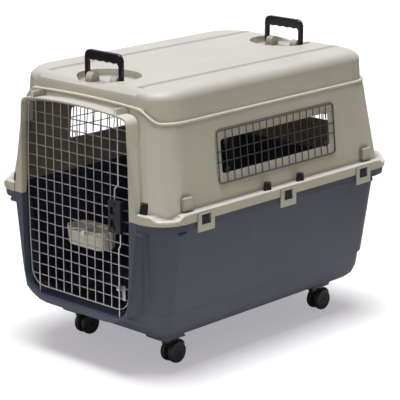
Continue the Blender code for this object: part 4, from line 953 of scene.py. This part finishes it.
# %% [markdown]
# ## Hoods and brake levers
# The hood covers both wheels like a mudguard and turns with them on the castor's stem. The front castors
# have a lever on it that presses on the wheels. Both are small mouldings with their full form in the frame,
# so their copies only get round edges.

# %% Hoods and brake levers
for spot in castors:
    names = (f"castor_hood_{spot}", f"hood_{spot}", f"swivel_{spot}")
    rounded_copy(*names, black, "black_plastic", 0.0008, angle=48.0, shortest=0.0022)
    if f"brake_lever_{spot}" in nodes:
        names = (f"brake_lever_{spot}", f"lever_{spot}", f"brake_{spot}")
        rounded_copy(*names, black, "black_plastic", 0.0006, angle=48.0, shortest=0.0022)
print("hoods:", len(castors))

# %% [markdown]
# ## Lid and tub
# The two big shells are the crate itself, and the frame has their shape. A merged copy shades smoothly
# round the corners. Their edges are rounded in the shading instead of the mesh, because so many cuts meet
# there that a bevel of the mesh would tear the thin corners.

# %% Lid and tub
shells = {"lid": ("upper_shell", cream, "cream_plastic"), "tub": ("lower_tub", slate, "slate_plastic")}
for name, (node, finish, slot) in shells.items():
    shell = place_piece(merged(node), name, "crate", finish, slot, (node,), 32.0)
    weighted(shell)
    print(name, "has", len(shell.data.polygons), "faces")

# %% [markdown]
# ## Corners of the door surround
# Above each side of the door the surround turns from the head into the pillar as one smooth band. A bar
# with a flat section is bent round that corner and overlaps both, so the seam between head and pillar is
# hidden without another cut in the lid.

# %% Surround corners
BAR_THICK = 0.0036
BAR_DEEP = (-0.3884, -0.356)
BAR_IN = 0.0016


def bent_bar(path, thick, deep):
    """A bar with a rectangular section that stands front to back."""
    bm = bmesh.new()
    bent_wire(bm, [(x, 0.0, z) for x, z in path], thick / math.sqrt(2), (0, 1, 0), 4)
    bmesh.ops.scale(bm, vec=(1.0, (deep[1] - deep[0]) / thick, 1.0), verts=bm.verts)
    bmesh.ops.translate(bm, vec=(0.0, (deep[0] + deep[1]) / 2, 0.0), verts=bm.verts)
    return turned_out(bm)


on_head = (0.128, head_low(0.128) + BAR_IN, 0.0)
in_corner = (doorway_half(0.573) + BAR_IN, 0.5745, 0.0165)
on_pillar = (0.1645, 0.520, 0.0)
for side, sign in (("right", 1), ("left", -1)):
    path = [(sign * x, z) for x, z in rounded([on_head, in_corner, on_pillar], 10)]
    bm = bent_bar(path, BAR_THICK, BAR_DEEP)
    # The bar's lighter cream is a painted highlight on the rounded corner.
    place_piece(bm, f"surround_corner_{side}", "crate", highlight_cream, "cream_plastic")
print("surround corners: 2")

# %% [markdown]
# ## The ridge
# A rounded bead runs round the lid where the wall meets the roof. Over the door it climbs in a smooth arch.
# It is bent like a wire, with its path laid on the lid's own outline, and more than half of it sinks into
# the wall. Only the right half of the path is worked out, and the left one mirrors it.

# %% The path round the lid
RIDGE_Z = 0.563
LID_CORNER = 0.078
BEAD = 0.0034
BEAD_IN = 0.0016
ARCH_END = 0.2085
ARCH_SLOPE = 0.052
ARCH_FLAT = 0.157
ARCH_RISE = 0.0285
ARCH_CROWN = 0.0045


def eased(share):
    """A share from 0 to 1 that starts and ends gently."""
    share = min(max(share, 0.0), 1.0)
    return share * share * (3 - 2 * share)


def end_wall_y(x, z):
    """How far out the end wall stands at a place across the lid."""
    half_x, half_y = lid_half(z)
    past = max(abs(x) - (half_x - LID_CORNER), 0.0)
    return half_y - LID_CORNER + math.sqrt(max(LID_CORNER**2 - past**2, 0.0))


def arch_rise(x):
    """The ridge's height above its level part."""
    climb = eased((ARCH_END - abs(x)) / ARCH_SLOPE)
    crown = 1 - min(abs(x) / ARCH_FLAT, 1.0) ** 2
    return ARCH_RISE * climb + ARCH_CROWN * crown * climb


# %% The ridge bead
ridge_x, ridge_y = lid_half(RIDGE_Z)
right = []
for step in range(1, 37):
    x = (ridge_x - 0.0225) * step / 36
    z = RIDGE_Z + arch_rise(x)
    right.append((x, -end_wall_y(x, z) + BEAD_IN, z))
turn_x = ridge_x - LID_CORNER
turn_y = ridge_y - LID_CORNER
reach = LID_CORNER - BEAD_IN
for turn in [math.radians(degrees) for degrees in range(50, 100, 10)]:
    right.append((turn_x + reach * math.sin(turn), -turn_y - reach * math.cos(turn), RIDGE_Z))
for turn in [math.radians(degrees) for degrees in range(0, 100, 10)]:
    right.append((turn_x + reach * math.cos(turn), turn_y + reach * math.sin(turn), RIDGE_Z))
loop = right + [(-x, y, z) for x, y, z in reversed(right)]
bm = bmesh.new()
bent_wire(bm, loop, BEAD, (0, 0, 1), 12, True)
# The bead's lighter cream is a painted highlight along the ridge.
place_piece(turned_out(bm), "ridge_bead", "crate", highlight_cream, "cream_plastic", sharp=60.0)
print("ridge bead:", len(loop), "places")

# %% [markdown]
# ## Roof grooves
# Two shallow channels run along the roof and stiffen it. Each has a low rounded lip on both sides that
# catches the light. One outline across the channel is extruded along it, and sinks to nothing at both ends.
# It is a piece of its own, because a rounding that is only in the shading would wash out such a shallow
# form. Its darker cream is painted shade in the channel.

# %% Roof grooves
ROOF_Z = 0.6305
RIDGE_STEP = 0.005
GROOVE_RUN_OUT = 0.012
GROOVE_FLAT = 0.1
GROOVE_SUNK = 0.0004
groove_x = ridge_x - RIDGE_STEP - 0.086
groove_end = ridge_y - RIDGE_STEP - 0.029
half_across = [(0.0009, -0.0036), (0.0036, 0.0002), (0.0048, 0.0011), (0.0062, 0.0008), (0.0080, -0.0006)]
across = [(-a, b) for a, b in reversed(half_across)] + half_across


def groove_height(a, share):
    """The channel's surface at a place across it, less deep where it runs out."""
    height = min(across, key=lambda point: abs(point[0] - a))[1]
    return ROOF_Z + height * share - (GROOVE_SUNK if share < 1.0 else 0.0)


def roof_groove(sign):
    bm = bmesh.new()
    start = [(sign * (groove_x + a), -groove_end, groove_height(a, GROOVE_FLAT)) for a, height in across]
    verts = [bm.verts.new(point) for point in start]
    first = [bm.edges.new(pair) for pair in zip(verts, verts[1:] + verts[:1])]
    edges = first
    full = groove_end - GROOVE_RUN_OUT
    for y, share in ((-full, 1.0), (full, 1.0), (groove_end, GROOVE_FLAT)):
        made = bmesh.ops.extrude_edge_only(bm, edges=edges)["geom"]
        edges = edges_of(made)
        for vert in verts_of(made):
            vert.co.y = y
            vert.co.z = groove_height(sign * vert.co.x - groove_x, share)
    bmesh.ops.edgeloop_fill(bm, edges=first)
    bmesh.ops.edgeloop_fill(bm, edges=edges)
    return turned_out(bm)


for side, sign in (("right", 1), ("left", -1)):
    # The channel's darker cream is painted shade.
    place_piece(roof_groove(sign), f"roof_groove_{side}", "crate", shade, "cream_plastic", sharp=60.0)
print("roof grooves at", round(groove_x, 4))

# %% [markdown]
# ## Strap slots
# The flange's corner plates have a narrow slot each, for a strap. It shows only as a dark line, so a thin
# dark bar laid in the plate stands for it without a cut: painted shade where the slot's gap lies. What
# repeats at the four corners is made in one loop over the signs of X and Y.

# %% Strap slots
CORNERS = [(sx, sy) for sx in (-1, 1) for sy in (-1, 1)]
SLOT_PLACE = (0.2435, 0.3585)
bm = bmesh.new()
for sx, sy in CORNERS:
    before = len(bm.verts)
    block(bm, (-0.0055, -0.0014, -0.0004), (0.0055, 0.0014, 0.0001), 0.00015, 1)
    bm.verts.ensure_lookup_table()
    turn = Matrix.Rotation(math.radians(-45.0 * sx * sy), 4, "Z")
    place = Matrix.Translation((sx * SLOT_PLACE[0], sy * SLOT_PLACE[1], SPLIT_Z + 0.0095)) @ turn
    bmesh.ops.transform(bm, matrix=place, verts=bm.verts[before:])
# The dark bars are painted shade in place of the slots.
place_piece(bm, "strap_slot_shade", "crate", grey, "grey_plastic")
print("strap slots:", len(CORNERS))

# %% [markdown]
# ## Steps and rolled edge of the flange
# The flange's band ends in a rounded step before each corner plate, and its edge is rolled over, which
# makes the thin plastic stiff and kind to the hands. A block with round edges makes the step. The roll is
# bent like a wire along the flange's outline, and its height eases down from the band to the plate.


# %% Flange steps
def mirrored(sign, near, far):
    """A span on the side that the sign names, low end first."""
    return sorted((sign * near, sign * far))


bm = bmesh.new()
for sx, sy in CORNERS:
    low_x, high_x = mirrored(sx, 0.2475, 0.2694)
    low_y, high_y = mirrored(sy, 0.2960, 0.3290)
    block(bm, (low_x, low_y, SPLIT_Z + 0.0080), (high_x, high_y, SPLIT_Z + 0.0188), 0.0042, 4)
place_piece(bm, "flange_steps", "crate", cream, "cream_plastic")
print("flange steps:", len(CORNERS))

# %% The rolled edge of the flange
ROLL = 0.0045
ROLL_IN = 0.0002
FLANGE_CORNER = 0.070
PLATE_HEIGHT = 0.0095
BAND_RISE = 0.0095
SURROUND_WIDE = 0.0242


def band_height(x, y):
    """How high the flange's edge stands: it steps down smoothly to the corner's plate."""
    on_end = (0.2380 - abs(x)) / 0.0180
    on_side = (0.3390 - abs(y)) / 0.0120
    return SPLIT_Z + PLATE_HEIGHT + BAND_RISE * eased(max(on_end, on_side))


start_x = DOORWAY_HALF + SURROUND_WIDE
round_x = FLANGE_HALF_X - FLANGE_CORNER
round_y = FLANGE_HALF_Y - FLANGE_CORNER
radius = FLANGE_CORNER - ROLL - ROLL_IN
turns = [math.radians(90 * step / 24) for step in range(25)]
quarter = [(round_x + radius * math.sin(turn), round_y + radius * math.cos(turn)) for turn in turns]
end_y = round_y + radius
right = [(start_x, -end_y), ((start_x + round_x) / 2, -end_y)] + [(x, -y) for x, y in quarter]
right += list(reversed(quarter))
outline = right + [(-x, y) for x, y in reversed(right)]
path = [(x, y, band_height(x, y) - 0.0020) for x, y in outline]
bm = bmesh.new()
bent_wire(bm, path, ROLL, (0, 0, 1), 14)
# The roll's lighter cream is a painted highlight along the flange's edge.
place_piece(turned_out(bm), "flange_roll", "crate", highlight_cream, "cream_plastic", sharp=60.0)
print("flange roll:", len(path), "places")

# %% [markdown]
# ## Blocks under the bolts
# Under each bolt the tub has a small block that takes its pull. They are plain blocks with round edges, two
# on each wall. All eight ride on the same body and have one finish, so one mesh holds them.

# %% Bolt blocks
END_BOLT_X = 0.197
SIDE_BOLT_Y = 0.3117
END_BLOCK_HALF = 0.0095
SIDE_BLOCK_HALF = 0.0065
BLOCK_EDGE = 0.0012
bm = bmesh.new()
for sx, sy in CORNERS:
    middle_x = sx * END_BOLT_X
    low_y, high_y = mirrored(sy, 0.3645, 0.3893)
    low = (middle_x - END_BLOCK_HALF, low_y, SPLIT_Z - 0.0245)
    block(bm, low, (middle_x + END_BLOCK_HALF, high_y, SPLIT_Z - 0.0165), BLOCK_EDGE)
    middle_y = sy * SIDE_BOLT_Y
    low_x, high_x = mirrored(sx, 0.2400, 0.2560)
    low = (low_x, middle_y - SIDE_BLOCK_HALF, SPLIT_Z - 0.0315)
    block(bm, low, (high_x, middle_y + SIDE_BLOCK_HALF, SPLIT_Z - 0.0225), BLOCK_EDGE)
place_piece(bm, "bolt_blocks", "crate", slate, "slate_plastic")
print("bolt blocks:", 2 * len(CORNERS))

# %% [markdown]
# ## Floor
# The crate stands on a white studio floor. The camera's own rays see it whiter than the crate does, which
# keeps the background white without more light on the crate. What the crate gets back from the floor is
# warm and bright close by and dim further out, as in a studio with a small white sheet.

# %% Floor
bm = bmesh.new()
bmesh.ops.create_grid(bm, x_segments=2, y_segments=2, size=14.0)
mesh = bpy.data.meshes.new("floor")
bm.to_mesh(mesh)
bm.free()
floor = bpy.data.objects.new("floor", mesh)
bpy.context.scene.collection.objects.link(floor)
floor_paint = Finish("floor_white")
seen = floor_paint.node("ShaderNodeLightPath", out="Is Camera Ray")
away = floor_paint.vectors("LENGTH", floor_paint.place())
bounce = floor_paint.mix(floor_paint.step(away, 0.7, 2.1), (0.82, 0.76, 0.62), (0.15, 0.145, 0.13))
floor_paint.paint(
    base_color=floor_paint.mix(seen, bounce, (0.76, 0.715, 0.55)),
    roughness=0.9,
    emission_color=floor_paint.mix(seen, (0.0, 0.0, 0.0), (0.365, 0.36, 0.395)),
)
floor_paint.shader.inputs["Emission Strength"].default_value = 1.0
floor_paint.shader.inputs["Specular IOR Level"].default_value = 0.0
mesh.materials.append(floor_paint.material)
print("floor", len(mesh.vertices), "points")

# %% [markdown]
# ## The room's light
# The room fills the shadows with a weak warm light. Shiny plastic and steel also mirror the room, so glossy
# rays see one bright wall beyond the crate and a dim room elsewhere. The camera sees plain white past the
# floor's edge. The Light Path node tells these rays apart, which saves modelling a studio.

# %% World
BRIGHT_WALL = (-0.62, 0.66, 0.42)
world = bpy.data.worlds.new("studio")
bpy.context.scene.world = world
world.use_nodes = True
studio = Board(world.node_tree)
fill = studio.tree.nodes["Background"]
fill.inputs["Color"].default_value = (1.0, 0.955, 0.82, 1.0)
fill.inputs["Strength"].default_value = 0.15
glossy = studio.node("ShaderNodeLightPath", out="Is Glossy Ray")
camera_ray = studio.node("ShaderNodeLightPath", out="Is Camera Ray")
way = studio.node("ShaderNodeTexCoord", out="Generated")
to_wall = studio.vectors("DOT_PRODUCT", way, BRIGHT_WALL)
mirrored_room = studio.step(to_wall, 0.05, 0.75) * 0.85 + 0.18
white = studio.tree.nodes.new("ShaderNodeBackground")
studio.feed(white.inputs["Strength"], camera_ray * 1.3 + (1.0 - camera_ray) * mirrored_room)
choice = studio.tree.nodes.new("ShaderNodeMixShader")
studio.feed(choice.inputs[0], glossy + camera_ray)
studio.tree.links.new(fill.outputs[0], choice.inputs[1])
studio.tree.links.new(white.outputs[0], choice.inputs[2])
studio.tree.links.new(choice.outputs[0], studio.tree.nodes["World Output"].inputs["Surface"])
print("world ready")

# %% [markdown]
# ## Lamps
# One wide soft light hangs over the crate. A sun lamp with a wide disc does that evenly over the whole
# floor, where an area lamp would fall off. A weak panel before the door lights the wires and the front a
# little.


# %% Lamps
def add_lamp(name, kind, energy, colour):
    light = bpy.data.lights.new(name, kind)
    light.energy = energy
    light.color = colour
    lamp = bpy.data.objects.new(name, light)
    bpy.context.scene.collection.objects.link(lamp)
    return lamp


sky = add_lamp("soft_light", "SUN", 3.35, (0.93, 0.990, 1.31))
sky.data.angle = math.radians(30)
sky.rotation_euler = (math.radians(4), math.radians(2), 0.0)
panel = add_lamp("front_panel", "AREA", 5.5, (1.0, 0.97, 0.92))
panel.data.shape = "SQUARE"
panel.data.size = 1.4
panel.location = (1.2, -2.4, 1.0)
panel.rotation_euler = (Vector((0.0, -0.2, 0.35)) - panel.location).to_track_quat("-Z", "Y").to_euler()
print("light", sky.data.energy, panel.data.energy)
